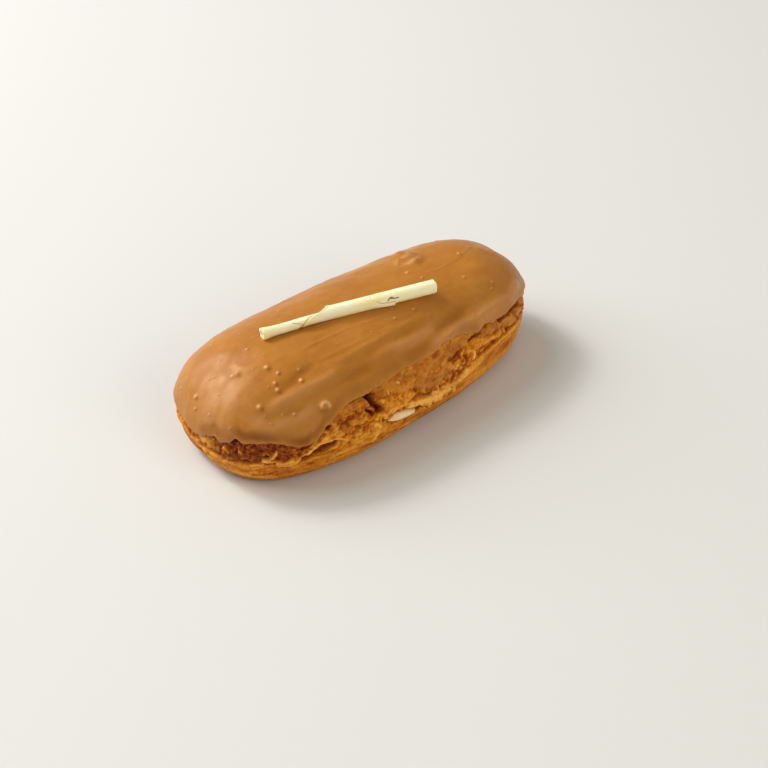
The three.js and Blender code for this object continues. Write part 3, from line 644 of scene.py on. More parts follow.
# Marks on the near side: half width, lift, path, share of each tone.
MARKS = [
    # dark pockets under the strands, given painted shade
    mark(0.95, -1.3, (-45, 11.1, -43, 11.4, -41.2, 12), dark=1, pit=0.5),
    mark(1.4, -1.5, (-40.6, 12.4, -37.6, 12.9), dark=1, pit=0.65),
    mark(0.95, -1.2, (-36.8, 13.1, -34.2, 13.5), dark=1, pit=0.55),
    mark(0.5, -0.6, (-41.4, 12.9, -39.5, 13.6, -37.4, 13.8), pit=0.8),
    mark(0.5, -0.6, (-43.4, 11, -42.6, 11.8), pit=0.9),
    mark(0.4, -0.6, (-46.6, 11.5, -46, 12.2), pit=0.7),
    # holes and crevices, darkened with painted shade
    mark(0.65, -1.5, (-36.7, 18.7, -35.5, 19.2), pit=1),
    mark(0.55, -1.1, (-74.6, 16.6, -73.6, 17), pit=0.8),
    mark(0.6, -1.2, (-66.8, 18.2, -66, 18.9), pit=0.8),
    mark(0.95, -0.8, (-18.8, 23, -17.4, 20.6, -16.2, 18.2, -15.8, 16.6), dark=0.8),
    mark(0.95, -2.5, (-20.5, 25, -20.1, 23.8, -19.4, 22.4), pit=1, dark=0.5),
    mark(0.78, -2.4, (-19.4, 22.6, -18.5, 20.6, -17.5, 18.7, -16.8, 17.3), pit=0.95, dark=0.5),
    mark(0.5, -1.6, (-21.5, 19.6, -20.6, 18.6), pit=0.95),
    mark(0.42, -1.4, (-20.4, 18.3, -19.8, 17.5), pit=0.9),
    mark(0.4, -0.4, (-12.4, 9.9, -8.4, 9.6, -4.8, 9.9), dark=0.55),
    mark(0.5, -0.3, (-6.8, 8.6, -3.2, 9), dark=0.45),
    # cracks of the right part and the recess under the icing's edge, darkened with painted shade
    mark(0.4, -0.9, (29.8, 18.8, 29.2, 17.6, 28.7, 16.8), dark=0.85),
    mark(0.35, -0.8, (29.5, 17.1, 31.4, 17.3, 33.4, 17.2, 35.2, 16.9), dark=0.8),
    mark(0.5, -1.2, (35.2, 16.9, 37.4, 16.3, 39.5, 15.7, 41.9, 16.6, 41.6, 18.8), dark=0.85, pit=0.2),
    mark(0.4, -0.7, (41.2, 19.2, 42.2, 19.8, 43.4, 19), dark=0.7),
    mark(0.5, -1.1, (44.4, 16.7, 45.4, 16.1, 48.9, 15.3, 53.2, 15.5, 54.8, 16.2, 56.4, 16), dark=0.9,
         pit=0.2),
    mark(0.42, -0.9, (50.7, 18.9, 51.6, 17.4, 52.8, 16.2), dark=0.8, pit=0.2),
    mark(0.5, -0.8, (58.6, 17.4, 60.4, 16.4, 62.6, 14.4), dark=0.7),
    mark(0.6, -1.5, (28.7, 22.3, 29.9, 22.7, 30.8, 22.3), pit=0.95),
    mark(0.36, -0.9, (25, 21.8, 27.4, 22.3, 29, 22.3), dark=0.8, pit=0.3),
    mark(0.4, -0.5, (24.8, 21.6, 25.4, 20.2, 26.6, 19.4), dark=0.5),
    mark(0.75, -1.5, (42.2, 21.4, 47, 20.9, 53.2, 20.3, 58, 18.8), dark=0.85, pit=0.55),
    mark(0.4, -0.5, (33, 19.4, 36.4, 18.8, 39.4, 18.6), dark=0.35),
    # long folds of the right part, with painted shade in the grooves beside them
    mark(1.2, 0.8, (29.8, 22, 35.7, 21.2, 42.7, 19.4, 49.4, 18, 55.3, 16.6), film=0.9),
    mark(1, 0.7, (25.3, 18.8, 30.1, 19.1, 35.2, 17.8, 40.6, 17.4), bright=0.6),
    mark(0.8, 0.5, (24.4, 13.6, 29, 14.1, 36.3, 14.4, 44.1, 14.4, 54.3, 13), bright=0.8),
    mark(0.6, -0.25, (25.8, 10.9, 32.8, 10.9, 41.1, 10, 48.4, 9.6), dark=0.3),
    mark(0.9, 0.2, (34, 8.2, 44, 7, 54, 6), bright=0.5),
    mark(2.4, 0.05, (24, 7, 36, 5.6, 50, 4.6, 64, 5), bright=0.7),
    mark(0.35, -0.3, (-63.7, 6.9, -60.4, 8, -57.2, 8.7), dark=0.4),
    mark(0.35, -0.3, (-60.4, 5.5, -55.1, 6.3), dark=0.45),
    mark(0.35, 0.3, (-61.8, 10, -58, 10.4), pale=0.6),
    # red-brown and orange patches
    mark(0.9, -0.3, (17.4, 15.4, 19.6, 14.2, 20.6, 15), dark=0.6),
    mark(0.7, -0.2, (15.4, 15.6, 16.4, 14.6), dark=0.4),
    mark(1.1, -0.3, (-24.5, 15.8, -22, 13.8), dark=0.4),
    mark(0.9, -0.3, (-31.6, 19.4, -27.5, 19), dark=0.35),
    mark(0.6, -0.3, (-31, 16.6, -29.4, 17.4), dark=0.4),
    mark(1, -0.4, (-73.6, 10.8, -71.5, 9.8), dark=0.6),
    mark(1.3, -0.8, (-82.9, 6.6, -80.3, 5.8, -78.2, 5.6), dark=0.75),
    mark(0.8, -0.4, (-78.4, 11.4, -76.6, 10.6), dark=0.5),
    mark(0.6, -0.4, (-84.6, 11.4, -82.4, 12), dark=0.4),
    mark(1.2, 0.2, (-5.6, 17.6, -3.4, 16.4), bright=0.9),
    mark(0.9, 0.2, (-8.6, 20.6, -6.4, 19.8), bright=0.6),
    mark(1.4, 0.2, (-13.4, 16.6, -10.4, 16.4), bright=0.6),
    mark(0.7, 0.2, (-25.4, 16.9, -23.4, 16.2), bright=0.8),
    mark(1.2, 0.2, (-30, 12.6, -27, 10.8, -23, 10.6), bright=0.6),
    mark(1.2, 0.3, (24, 19.6, 28, 19.9, 33, 18.6), bright=0.7),
    mark(0.7, 0.4, (35.5, 17.9, 39.4, 17.2), bright=0.8),
    mark(0.9, 0.4, (47, 18.2, 49.8, 17.4), bright=0.6),
    mark(0.8, 0.3, (54.4, 18, 57.6, 17.4), bright=0.6),
    mark(0.8, 0.3, (-80, 13, -79, 14.4), bright=0.8),
    mark(0.6, 0.4, (-70.4, 14.6, -69.4, 13.2), bright=0.6),
    mark(0.6, 0.3, (-48.6, 14.8, -47.6, 13), bright=0.35),
    # strands and flakes
    mark(0.52, 1.5, (-53.5, 10.5, -50.2, 10.8, -47.5, 10.4, -44.6, 12.3, -42.4, 13.4, -39.5, 14.9, -37,
         16.4), pale=0.6),
    mark(0.45, 0.8, (-53.2, 10.2, -50, 9.8, -47.6, 9.9), pale=0.5),
    mark(0.4, 1.1, (-39.5, 14.9, -36, 15.1, -33.5, 14.6, -31.2, 13.6), pale=0.7),
    mark(0.42, 1.5, (-57.8, 12.2, -55.6, 12.3, -54.3, 13.6, -53.5, 15.4), pale=0.85),
    mark(0.4, 0.8, (-56.8, 11.8, -55.2, 11.6), pale=0.6),
    mark(0.3, 0.5, (-65.2, 15.6, -64.6, 13.6), pale=0.35),
    mark(0.7, 0.5, (-33, 18, -35.2, 16.4, -38, 16.2), pale=0.3, film=0.6),
    mark(0.4, 0.6, (-83.2, 8.6, -79.5, 8.9, -77, 6.6, -75.6, 5.4), pale=0.5),
    mark(0.5, 0.5, (-87.5, 8.8, -85, 9.6, -82.5, 10.6), pale=0.35),
    mark(0.7, 0.5, (-80, 11.8, -78.6, 13.6, -76.8, 14.2), pale=0.3),
    mark(0.75, 0.7, (-19.2, 13.1, -18, 12.6, -17.4, 11.6), pale=0.9),
    mark(0.7, 0.4, (-18.9, 10.5, -18.4, 8.9, -19.4, 6.4), pale=0.7),
    mark(0.9, 0.2, (-25.5, 9.5, -23.5, 8), pale=0.35),
    mark(0.5, 0.2, (-15, 14, -12, 15.2, -8.6, 15.2, -5, 14.2), pale=0.5),
    # pale ragged lip to the right of the slit
    mark(1.15, 1.15, (-4.5, 13.6, -2, 13.1, 1.6, 12, 5.6, 11, 9.4, 10.9, 12.5, 11), pale=1),
    mark(0.9, 0.7, (12.5, 11, 16.1, 10.9, 19.9, 12.2, 23, 12.6), pale=0.8),
    mark(0.7, 1, (0.8, 11.4, 1.7, 9.9), pale=0.85),
    mark(0.8, 1.1, (3.2, 11, 4.2, 8.6), pale=1),
    mark(0.8, 1, (6.2, 10.6, 7, 8.6), pale=0.8),
    mark(0.9, 0.9, (8.6, 10.8, 8.9, 9), pale=1),
    mark(0.8, 0.7, (11.6, 10.8, 12.3, 8.8), pale=0.65),
    mark(0.7, 0.5, (15.4, 10, 16.4, 7.6), pale=0.75),
    mark(0.5, 0.5, (5.2, 12.6, 7.8, 12.4), pale=0.9),
    mark(0.5, 0.4, (10, 12.6, 13, 12.4), pale=0.6),
    mark(0.7, 0.4, (18.5, 10.8, 22, 11.4, 26, 12.4, 30, 13), pale=0.5),
    # crumbs
    mark(0.75, 0.9, (25.6, 16.3, 25.9, 17.6), pale=1),
    mark(0.7, 0.8, (20.7, 13.2, 21.6, 13.5), pale=1),
    mark(0.7, 0.7, (16.4, 16.4, 17.2, 17.4), pale=0.7),
    mark(0.45, 0.5, (18.4, 16.2, 19, 15.4), pale=0.7),
    mark(0.4, 0.4, (14.4, 17.4, 15.2, 17.9), pale=0.5),
    mark(0.4, 0.3, (13.2, 18.6, 14, 18.9), pale=0.4),
    mark(0.3, 0.45, (-12.6, 22.2, -12.4, 20.9), pale=0.75),
    mark(0.35, 0.4, (-8, 22.7, -7.4, 22.4), pale=0.8),
    mark(0.3, 0.35, (-15.5, 20.5, -15.1, 19.6), pale=0.6),
    mark(0.45, 0.4, (-26.5, 12.9, -24.6, 13.7), pale=0.5),
    # small pits darkened with painted shade, and dark spots
    mark(0.32, -0.9, (-30.3, 14.7, -29.8, 14.3), pit=0.85),
    mark(0.4, -0.5, (-29.6, 11.2, -28.9, 10.6), pit=0.5),
    mark(0.26, -0.5, (-28.2, 12.4, -27.6, 12.2), pit=0.5),
    mark(0.3, -0.4, (-21.2, 15, -20.4, 14.6), pit=0.5),
    mark(0.4, -0.8, (-16.2, 14.3, -15.8, 12.8), dark=0.9, pit=0.3),
    mark(0.75, -1.9, (-1.9, 11.2, -0.4, 10.5, 1, 10.2), pit=1),
    mark(0.4, -1, (2.4, 9, 3.2, 7.9), pit=0.5, dark=0.6),
    mark(0.4, -1, (4.8, 8.4, 5.9, 7.9, 7.4, 7.5), pit=0.45, dark=0.7),
    mark(0.4, -1.1, (9.6, 8.1, 10.5, 8.4, 11.4, 8), pit=0.7, dark=0.6),
    mark(0.35, -0.7, (12.4, 7.7, 15.4, 7.2), dark=0.6),
    mark(0.4, -0.4, (-16.6, 5.5, -15, 4.9), dark=0.9),
    mark(0.35, -0.4, (-56, 5.9, -55.2, 5.7), dark=0.9),
    mark(0.3, -0.3, (-59.4, 6.8, -58.8, 6.6), dark=0.7),
    mark(0.25, -0.3, (-52.2, 7.4, -51.6, 7.2), dark=0.5),
    mark(0.4, -0.3, (-44, 7.6, -42.4, 7.9), dark=0.5),
    mark(0.35, -0.3, (-33.6, 6.4, -32.4, 6.8), dark=0.5),
]

# Films of icing smeared over the crust under its edge: path, half width, share.
FILMS = [
    ((-41.6, 15.6, -39.2, 17.9, -36.6, 19.6, -35, 20.6), 0.8, 1.0),
    ((-34.5, 19.6, -31, 21.6, -26, 22.2, -22.5, 22.4), 1.2, 0.85),
    ((-33, 16.8, -28, 16.4, -24, 18.8), 1.4, 0.5),
    ((-15, 22.8, -8, 23, 0, 22.8, 8, 22, 16, 23.2, 24, 23), 1.8, 0.9),
    ((-13, 20.9, -8, 20.4, -2, 19.4), 1.1, 0.6),
    ((1, 18.6, 8, 16.6, 13, 18), 2.2, 0.95),
    ((31, 22, 36, 20.6, 42, 19.6), 1.3, 0.85),
    ((55, 18.8, 60, 16.8), 0.8, 0.5),
]

# Dark rough band under the icing: its ends round the bun, and the height of its lower edge.
DARK_FROM, DARK_TO = -77.5, -41.6
DARK_FLOOR = [
    (-160, 30), (-79, 16), (-76.5, 11.5), (-73.9, 9.6), (-69.8, 10.3), (-66.6, 10.7), (-62.6, 11),
    (-59.4, 11.2), (-57.2, 12.1), (-50, 11.7), (-47, 12.2), (-44, 14), (-41.5, 15.8), (-40, 30),
]

# Stretch of the near side with a calmer crust, and the side that only scattered marks cover.
CALM_FROM, CALM_TO = 22, 66
SCATTER_FROM, SCATTER_SHORT_OF_END = 64.0, 92

# Where nothing may rise beside the slit: distance round the bun and height, and the reach of each.
SLIT_PLACE, SLIT_REACH = (-7.8, 11.9), (6.6, 2.4)

CRUST_STEPS = (-108, 80, 0.35, 0.85)
BASE_ROWS = 30
SEAM_ROWS = 12
CRUST_ROWS = 58
UNDER_ROWS = 4
INSIDE_ROWS = 5
# Tones of the crust; the pit tone is painted shade in holes and cracks, and the dark tone also holds painted
# shade.
TONES = ("pale", "dark", "pit", "film", "bright", "bake_and_shade")


def scattered_marks():
    """Cracks, pits and flakes of the sides that the near side's marks don't reach; the cracks and pits get
    painted shade.
    """
    draw = np.random.default_rng(7)
    marks, arc = [], SCATTER_FROM
    while arc < outline_length - SCATTER_SHORT_OF_END:
        at = arc if arc < outline_length / 2 else arc - outline_length
        edge, seam = (float(on_run(run, np.array([at]))[0]) for run in (ICING_EDGE, SEAM))
        kind = draw.integers(6)
        length, slope = draw.uniform(2, 7), draw.uniform(-1.4, 1.4)
        z = draw.uniform(seam + 1.0, edge - 0.8)
        path = (at, z, at + length / 2, z + slope * draw.uniform(0.1, 1.4), at + length, z + slope)
        if kind < 2:
            marks.append(mark(draw.uniform(0.35, 0.6), -draw.uniform(0.7, 1.3), path, dark=0.85, pit=0.25))
        elif kind == 2:
            marks.append(mark(draw.uniform(0.45, 0.8), draw.uniform(0.5, 1.0), path, pale=0.75))
        elif kind == 3:
            marks.append(mark(draw.uniform(0.8, 1.6), -0.4, path[:4], dark=0.6))
        elif kind == 4:
            marks.append(mark(draw.uniform(0.8, 1.5), 0.3, path[:4], bright=0.8))
        else:
            spot = (at, seam * draw.uniform(0.3, 0.8), at + 0.8, seam * 0.6)
            marks.append(mark(draw.uniform(0.25, 0.5), -0.4, spot, dark=0.7))
        arc += draw.uniform(1.0, 3.6)
    return marks


def dark_share(arc, height):
    """Share of the dark porous band, from 0 to 1."""
    at = wrapped(arc)
    floor = np.interp(at, *zip(*DARK_FLOOR))
    along = smooth(DARK_FROM - 1.5, DARK_FROM + 6, at) * (1 - smooth(DARK_TO - 0.5, DARK_TO + 0.7, at))
    front = along * smooth(floor - 0.25, floor + 0.25, height)
    seam = on_run(SEAM, arc)
    behind = smooth(0.1, 0.5, round_noise(arc, 9, 41, height / 12)) * smooth(seam + 1.2, seam + 2.0, height)
    hidden = smooth(66, 80, at) + (1 - smooth(-108, -96, at))
    return np.maximum(front, 0.85 * behind * np.clip(hidden, 0, 1))


def paint(tones, lift, u, v, path, half, rise, shares):
    """Adds one mark to the crust's lift and tones."""
    left, right = min(path[::2]) - 3, max(path[::2]) + 3
    near = ((u - left) % outline_length) < right - left
    at = (u[near] - left) % outline_length + left
    share = patch(path, half, at, v[near])
    lift[near] += rise * share
    for name, value in shares.items():
        tones[name][near] = np.maximum(tones[name][near], value * share)
    if rise > 0:
        for name in ("dark", "pit"):
            tones[name][near] *= 1 - 0.95 * share


def crust_film(arc, u, v, edge):
    """Share of the icing smeared over the crust, from 0 to 1."""
    film = smooth(0.15, 0.45, round_noise(arc, 13, 47)) * smooth(edge - 3.2, edge - 1.6, v)
    film = 0.8 * film * smooth(62, 70, np.abs(arc))
    for path, half, share in FILMS:
        film = np.maximum(film, share * patch(path, half, u, v))
    return film


def open_seam(lift, tones, arc, line):
    """Splits the crust along the seam, given the height above it, with painted shade in the split and pale
    crumb below it.
    """
    gape = on_run(SEAM_GAPE, arc) * (1 + 0.4 * round_noise(arc, 2.2, 63))
    share = np.clip(gape, 0, 1)
    lift += gape * (0.3 * bell(line, -0.9, 0.6) - 1.4 * bell(line, 0, 0.36) + 0.45 * bell(line, 1.0, 0.7))
    raise_tones(tones, dark=np.clip(1.3 * gape, 0, 1) * bell(line, 0.05, 0.42) * 0.85)
    raise_tones(tones, pit=share * bell(line, 0.0, 0.24) * 0.5, pale=0.4 * share * bell(line, -0.9, 0.35))


def crust_fields(arc, height, points):
    """Lift of the crust and its tones at each point."""
    edge, seam = on_run(ICING_EDGE, arc), on_run(SEAM, arc)
    x, y, z = (points[..., axis] for axis in range(3))
    u = arc + 0.4 * solid_noise(points, 1.5, 1.3, 51, 2)
    v = height + 0.3 * solid_noise(points, 1.5, 1.4, 52, 2)
    above = smooth(seam - 0.3, seam + 0.7, v)
    film = crust_film(arc, u, v, edge)

    # The right part and some of the hidden side are calmer, and elsewhere the crust breaks into plates.
    calm = smooth(CALM_FROM, CALM_FROM + 5, u) * (1 - smooth(CALM_TO, CALM_TO + 8, u))
    ends = smooth(CALM_TO, CALM_TO + 8, np.abs(u)) * smooth(-0.1, 0.3, round_noise(arc, 24, 66))
    calm = np.maximum(calm, 0.7 * ends)
    border, plate = cells(x / 3.6 + 0.3 * noise(x / 2, y / 2, z / 2, 49), y / 3.6, z / 2.7, seed=44)
    broken = smooth(-0.25, 0.35, solid_noise(points, 9, 6, 45)) * (1 - film) * (1 - 0.8 * calm)
    crack = broken * (1 - smooth(0.03, 0.2, border))
    wrinkle = (1 - 2.2 * np.abs(solid_noise(points, 3.2, 2.2, 55, 2))) * (1 - 0.4 * calm)
    crinkle = (1 - 2.5 * np.abs(solid_noise(points, 1.15, 0.95, 56))) * (1 - 0.6 * calm)
    grain = solid_noise(points, 0.55, 0.55, 57)

    # The upper crust is craggy and the base below the seam is streaked along its length.
    lift = 0.3 * solid_noise(points, 7, 3, 53)
    crags = (1 - 0.6 * film) * (0.26 * wrinkle + 0.16 * crinkle + 0.2 * plate)
    lift += above * (crags + 0.06 * grain - 0.45 * crack)
    cx, cy = circled(arc + 0.9 * height)
    streak = noise(cx / 5, cy / 5, height / 0.8, seed=58)
    fold = noise(cx / 8, cy / 8, height / 2.4, seed=54)
    lift += (1 - above) * (0.08 * streak + 0.14 * fold + 0.05 * crinkle + 0.02 * grain)
    tones = {name: np.zeros_like(lift) for name in TONES}
    # Browning that is partly painted shade: paler where the crust rises and darker where it sinks or cracks.
    upper = 0.5 + 0.2 * wrinkle + 0.16 * crinkle + 0.16 * plate - 0.4 * crack + 0.1 * grain
    spots = smooth(0.3, 0.6, solid_noise(points, 1.3, 1.0, 60))
    lower = 0.58 + 0.2 * streak + 0.14 * fold + 0.08 * crinkle - 0.14 * spots
    tones["bake_and_shade"] = np.clip(lower + (upper - lower) * above, 0, 1)

    dark = dark_share(u, v)
    pores = solid_noise(points, 1.0, 1.1, 62, 3)
    lift -= dark * (0.5 + 0.4 * pores - 0.25 * grain)
    tones["dark"] = dark * np.clip(0.9 + 0.3 * solid_noise(points, 1.1, 1.0, 61, 3), 0, 1)
    # Painted shade in the pores of the dark band.
    tones["pit"] = 0.6 * dark * smooth(0.15, 0.7, pores)
    tones["film"] = film
    open_seam(lift, tones, arc, v - seam)
    for path, half, rise, shares in MARKS + scattered_marks():
        paint(tones, lift, u, v, path, half, rise, shares)

    # Nothing rises beside the slit, and there is no relief under the icing or at the floor.
    by_slit = (bell(u, SLIT_PLACE[0], SLIT_REACH[0]) ** 2) * bell(v, SLIT_PLACE[1], SLIT_REACH[1])
    lift = np.where(lift > 0, lift * (1 - np.clip(1.3 * by_slit, 0, 1)), lift)
    room = smooth(edge + 0.6, edge - 1.6, height)
    lift = np.minimum(lift, 0.75 * room) * smooth(edge + 1.0, edge - 0.3, height) * smooth(0.1, 2.2, height)
    return lift, tones


def crust_grid():
    arc = stepped_arcs(CRUST_STEPS)
    edge, seam = edge_height(arc), on_run(SEAM, arc)

    def rows(low, high, count, power=1.0):
        return low + (high - low) * np.linspace(0, 1, count, endpoint=False)[:, None] ** power

    heights = np.concatenate([
        rows(0 * seam, seam - 1.2, BASE_ROWS, 1.25),
        rows(seam - 1.2, seam + 1.2, SEAM_ROWS),
        rows(seam + 1.2, edge - 0.3, CRUST_ROWS),
        rows(edge - 0.3, edge + DOME_LOW, UNDER_ROWS),
    ])
    turns = np.concatenate([turn_at_height(heights), dome_turns(arc, DOME_LOW, INSIDE_ROWS)])
    heights = np.concatenate([heights, np.full((INSIDE_ROWS, arc.shape[1]), BODY_HEIGHT)])
    lift, tones = crust_fields(arc, heights, body_point(arc, turns))
    lift[-INSIDE_ROWS:] = 0
    return grow_out(arc, turns, lift), tones


# ---------- Cream and its room ----------

def slit_height(x):
    return SLIT_START_HEIGHT + (SLIT_END_HEIGHT - SLIT_START_HEIGHT) * smooth(SLIT_FROM, SLIT_TO, x)


def slit_gape(x, start, end, margin):
    stop = np.where(x < SLIT_WIDEST, start, end)
    run = np.clip((x - SLIT_WIDEST) / (stop - SLIT_WIDEST), 0, 1)
    return np.maximum(SLIT_END_GAPE, (SLIT_HALF_GAPE - margin) * (1 - run ** SLIT_POWER))


def slit_bar(start, end, margin, depths, sizes=None, sides=72):
    """Lens-shaped bar along Y, its rings at the given depths and sizes from the back to the front."""
    around = 2 * math.pi * np.arange(sides) / sides
    x = start + (end - start) * (1 - np.cos(around)) / 2
    gape = slit_gape(x, start, end, margin) * np.where(around < math.pi, -1, 1)
    middle = (start + end) / 2
    rings = []
    for y, size in zip(depths, np.ones(len(depths)) if sizes is None else sizes):
        flat = middle + (x - middle) * (1 + size) / 2
        rings.append(np.stack([flat, np.full(sides, float(y)), slit_height(flat) + gape * size], -1))
    return rings


def cream_log(margin, rings=64, sides=72):
    angle = math.pi * np.arange(1, rings) / rings
    around = 2 * math.pi * np.arange(sides) / sides
    reach = np.sin(angle)[:, None] ** 0.6
    lx, ly, lz = (half + margin for half in CREAM_HALF)
    x = -lx * np.cos(angle)[:, None] + 0 * around
    log = np.stack([x, ly * reach * np.cos(around), lz * reach * np.sin(around)], -1)
    return log + np.array(CREAM_CENTRE)


def combine(target, other, operation):
    """Boolean of two closed pieces; the other piece is removed."""
    modifier = target.modifiers.new("combine", "BOOLEAN")
    modifier.object = other
    modifier.operation = operation
    modifier.solver = "MANIFOLD"
    bpy.context.view_layer.update()
    result = bpy.data.meshes.new_from_object(target.evaluated_get(bpy.context.evaluated_depsgraph_get()))
    target.modifiers.clear()
    target.data = result
    bpy.data.objects.remove(other)
    return target


# ---------- Chocolate stick ----------

# Places along the stick are shares of its length, and turns are in degrees.
# The inner roll flares at its end: share of its radius, reach.
END_FLARE = (0.26, 0.045)
TEAR_SHARE, TEAR_SLANT, TEAR_TURN, TEAR_STEP = 0.308, 0.085, 213.0, 0.008
CREASE_BEFORE, CREASE_REACH, CREASE_DEPTH = 0.006, 0.01, 0.4
FLAP_FROM, FLAP_TO, FLAP_TURN, FLAP_SPREAD, FLAP_RISE = 0.6, 0.752, 214.0, 26.0, 0.6
NOTCH_SHARE, NOTCH_TURN = 0.632, 84.0
STICK_RINGS = 300
STICK_SIDES = 120
STICK_BEVEL = 0.004

# End of the stick, from deep in its hollow to its rim: size of the ring, distance inwards in millimetres.
STICK_END = [
    (0.36, 1.6), (0.38, 0.5), (0.42, 0.12), (0.6, 0.0), (0.82, -0.03), (0.93, 0.02), (0.985, 0.1),
]

# Cracks of the stick, darkened with painted shade, and a brown fleck: path of shares of the length and turns,
# half width, tone.
STICK_LINES = [
    ((0.172, 120, 0.204, 147, 0.236, 168), 0.15, "crack"),
    ((0.236, 168, 0.25, 136, 0.277, 108, 0.297, 88, 0.32, 66), 0.15, "crack"),
    ((0.649, 153, 0.674, 177, 0.7, 184, 0.73, 187, 0.753, 186), 0.13, "crack"),
    ((0.632, 66, 0.631, 84, 0.628, 108), 0.1, "crack"),
    ((0.713, 164, 0.722, 152, 0.733, 147, 0.742, 157, 0.75, 162, 0.762, 157, 0.773, 160), 0.2, "fleck"),
    ((0.728, 151, 0.738, 153), 0.3, "fleck"),
]

stick_axis = outer_centre(1.0) - inner_centre(0.0)
stick_length = np.linalg.norm(stick_axis)
stick_axis = stick_axis / stick_length
stick_side = np.cross([0, 0, 1], stick_axis)
stick_side = stick_side / np.linalg.norm(stick_side)
stick_up = np.cross(stick_axis, stick_side)
stick_turns = 360 * np.arange(STICK_SIDES) / STICK_SIDES


def stick_steps():
    """Rings of the stick in order: share of the length, size, push along the stick."""
    near = [(0.0, scale, push) for scale, push in STICK_END]
    middle = [(share, 1.0, 0.0) for share in np.linspace(STICK_BEVEL, 1 - STICK_BEVEL, STICK_RINGS)]
    return near + middle + [(1.0, scale, -push) for scale, push in reversed(STICK_END)]


def stick_lines(share, turn):
    """Cracks, darkened with painted shade, and the fleck at each point of the stick."""
    along, around = share * stick_length, np.radians(turn) * OUTER_RADIUS
    tones = {"crack": np.zeros(np.shape(along)), "fleck": np.zeros(np.shape(along))}
    for path, half, tone in STICK_LINES:
        line = np.array(path)
        line[::2] *= stick_length
        line[1::2] = np.radians(line[1::2]) * OUTER_RADIUS
        u = along + 0.12 * noise(along / 0.6, around / 0.6, seed=77)
        v = around + 0.12 * noise(along / 0.6, around / 0.6, seed=78)
        raise_tones(tones, **{tone: patch(line, half, u, v, 0.6)})
    return tones


def stick_tear(turn):
    """Share of the length at which the outer roll starts, with its ragged edge."""
    cx, cy = 1.4 * np.cos(np.radians(turn)), 1.4 * np.sin(np.radians(turn))
    ragged = 0.009 * noise(cx * 1.6, cy * 1.6, 3.1, seed=71) + 0.005 * noise(cx * 5, cy * 5, 1.1, seed=72)
    return TEAR_SHARE - TEAR_SLANT * np.cos(np.radians(turn - TEAR_TURN)) + ragged


def stick_ring(share, scale, push):
    """One ring of the stick. Past a slanting tear it lies on the outer roll."""
    turn = stick_turns
    around = np.radians(turn)
    cx, cy = 1.4 * np.cos(around), 1.4 * np.sin(around)
    tear = stick_tear(turn)
    wrap = smooth(tear, tear + TEAR_STEP, share)
    inner = INNER_RADIUS * (1 + END_FLARE[0] * bell(share, 0, END_FLARE[1]))
    flap = smooth(FLAP_FROM, FLAP_TO, share) * (1 - smooth(FLAP_TO, FLAP_TO + 0.006, share))
    flap = flap * bell(turn, FLAP_TURN, FLAP_SPREAD)
    grain = 0.04 * noise(share * 40, cx * 1.7, cy * 1.7, seed=73)
    grain = grain + 0.03 * noise(share * 9, cx * 4, cy * 4, seed=74)
    radius = inner + (OUTER_RADIUS + FLAP_RISE * flap - inner) * wrap + grain
    radius = radius - CREASE_DEPTH * bell(share, tear - CREASE_BEFORE, CREASE_REACH)
    radius = radius + 0.14 * wrap * bell(share, tear + TEAR_STEP, 0.016)
    radius = radius - 0.35 * bell(share, NOTCH_SHARE, 0.005) * bell(turn, NOTCH_TURN, 30)
    tones = stick_lines(np.full(STICK_SIDES, share), turn)
    radius = radius - 0.16 * tones["crack"]
    ragged = 0.22 * noise(cx * 1.4, cy * 1.4, 5.5, seed=75) * (1 if share < 0.5 else -1)
    inner_middle = inner_centre(np.full(STICK_SIDES, share))
    outer_middle = outer_centre(np.full(STICK_SIDES, share))
    middle = inner_middle + (outer_middle - inner_middle) * wrap[:, None]
    ends = bell(share, 0, 0.02) + bell(share, 1, 0.02)
    middle = middle + (push + ends * ragged * (scale > 0.5))[:, None] * stick_axis
    round_it = np.cos(around)[:, None] * stick_side + np.sin(around)[:, None] * stick_up
    return middle + scale * radius[:, None] * round_it


def stick_tones():
    """Painted shade in the cracks and at the start of the outer roll, and the fleck, for each point of the
    skin.
    """
    share, turn = np.meshgrid([step[0] for step in stick_steps()], stick_turns, indexing="ij")
    tones = stick_lines(share, turn)
    # Painted shade in the crease before the outer roll.
    raise_tones(tones, crack=0.9 * bell(share, stick_tear(turn) - CREASE_BEFORE, CREASE_REACH))
    return {name: np.r_[value.reshape(-1), 0, 0] for name, value in tones.items()}


# ---------- Materials ----------

def linear(*display):
    """Linear colour of a display colour from 0 to 255."""
    shares = [value / 255 for value in display]
    return (*(v / 12.92 if v <= 0.04 else ((v + 0.055) / 1.055) ** 2.4 for v in shares), 1.0)


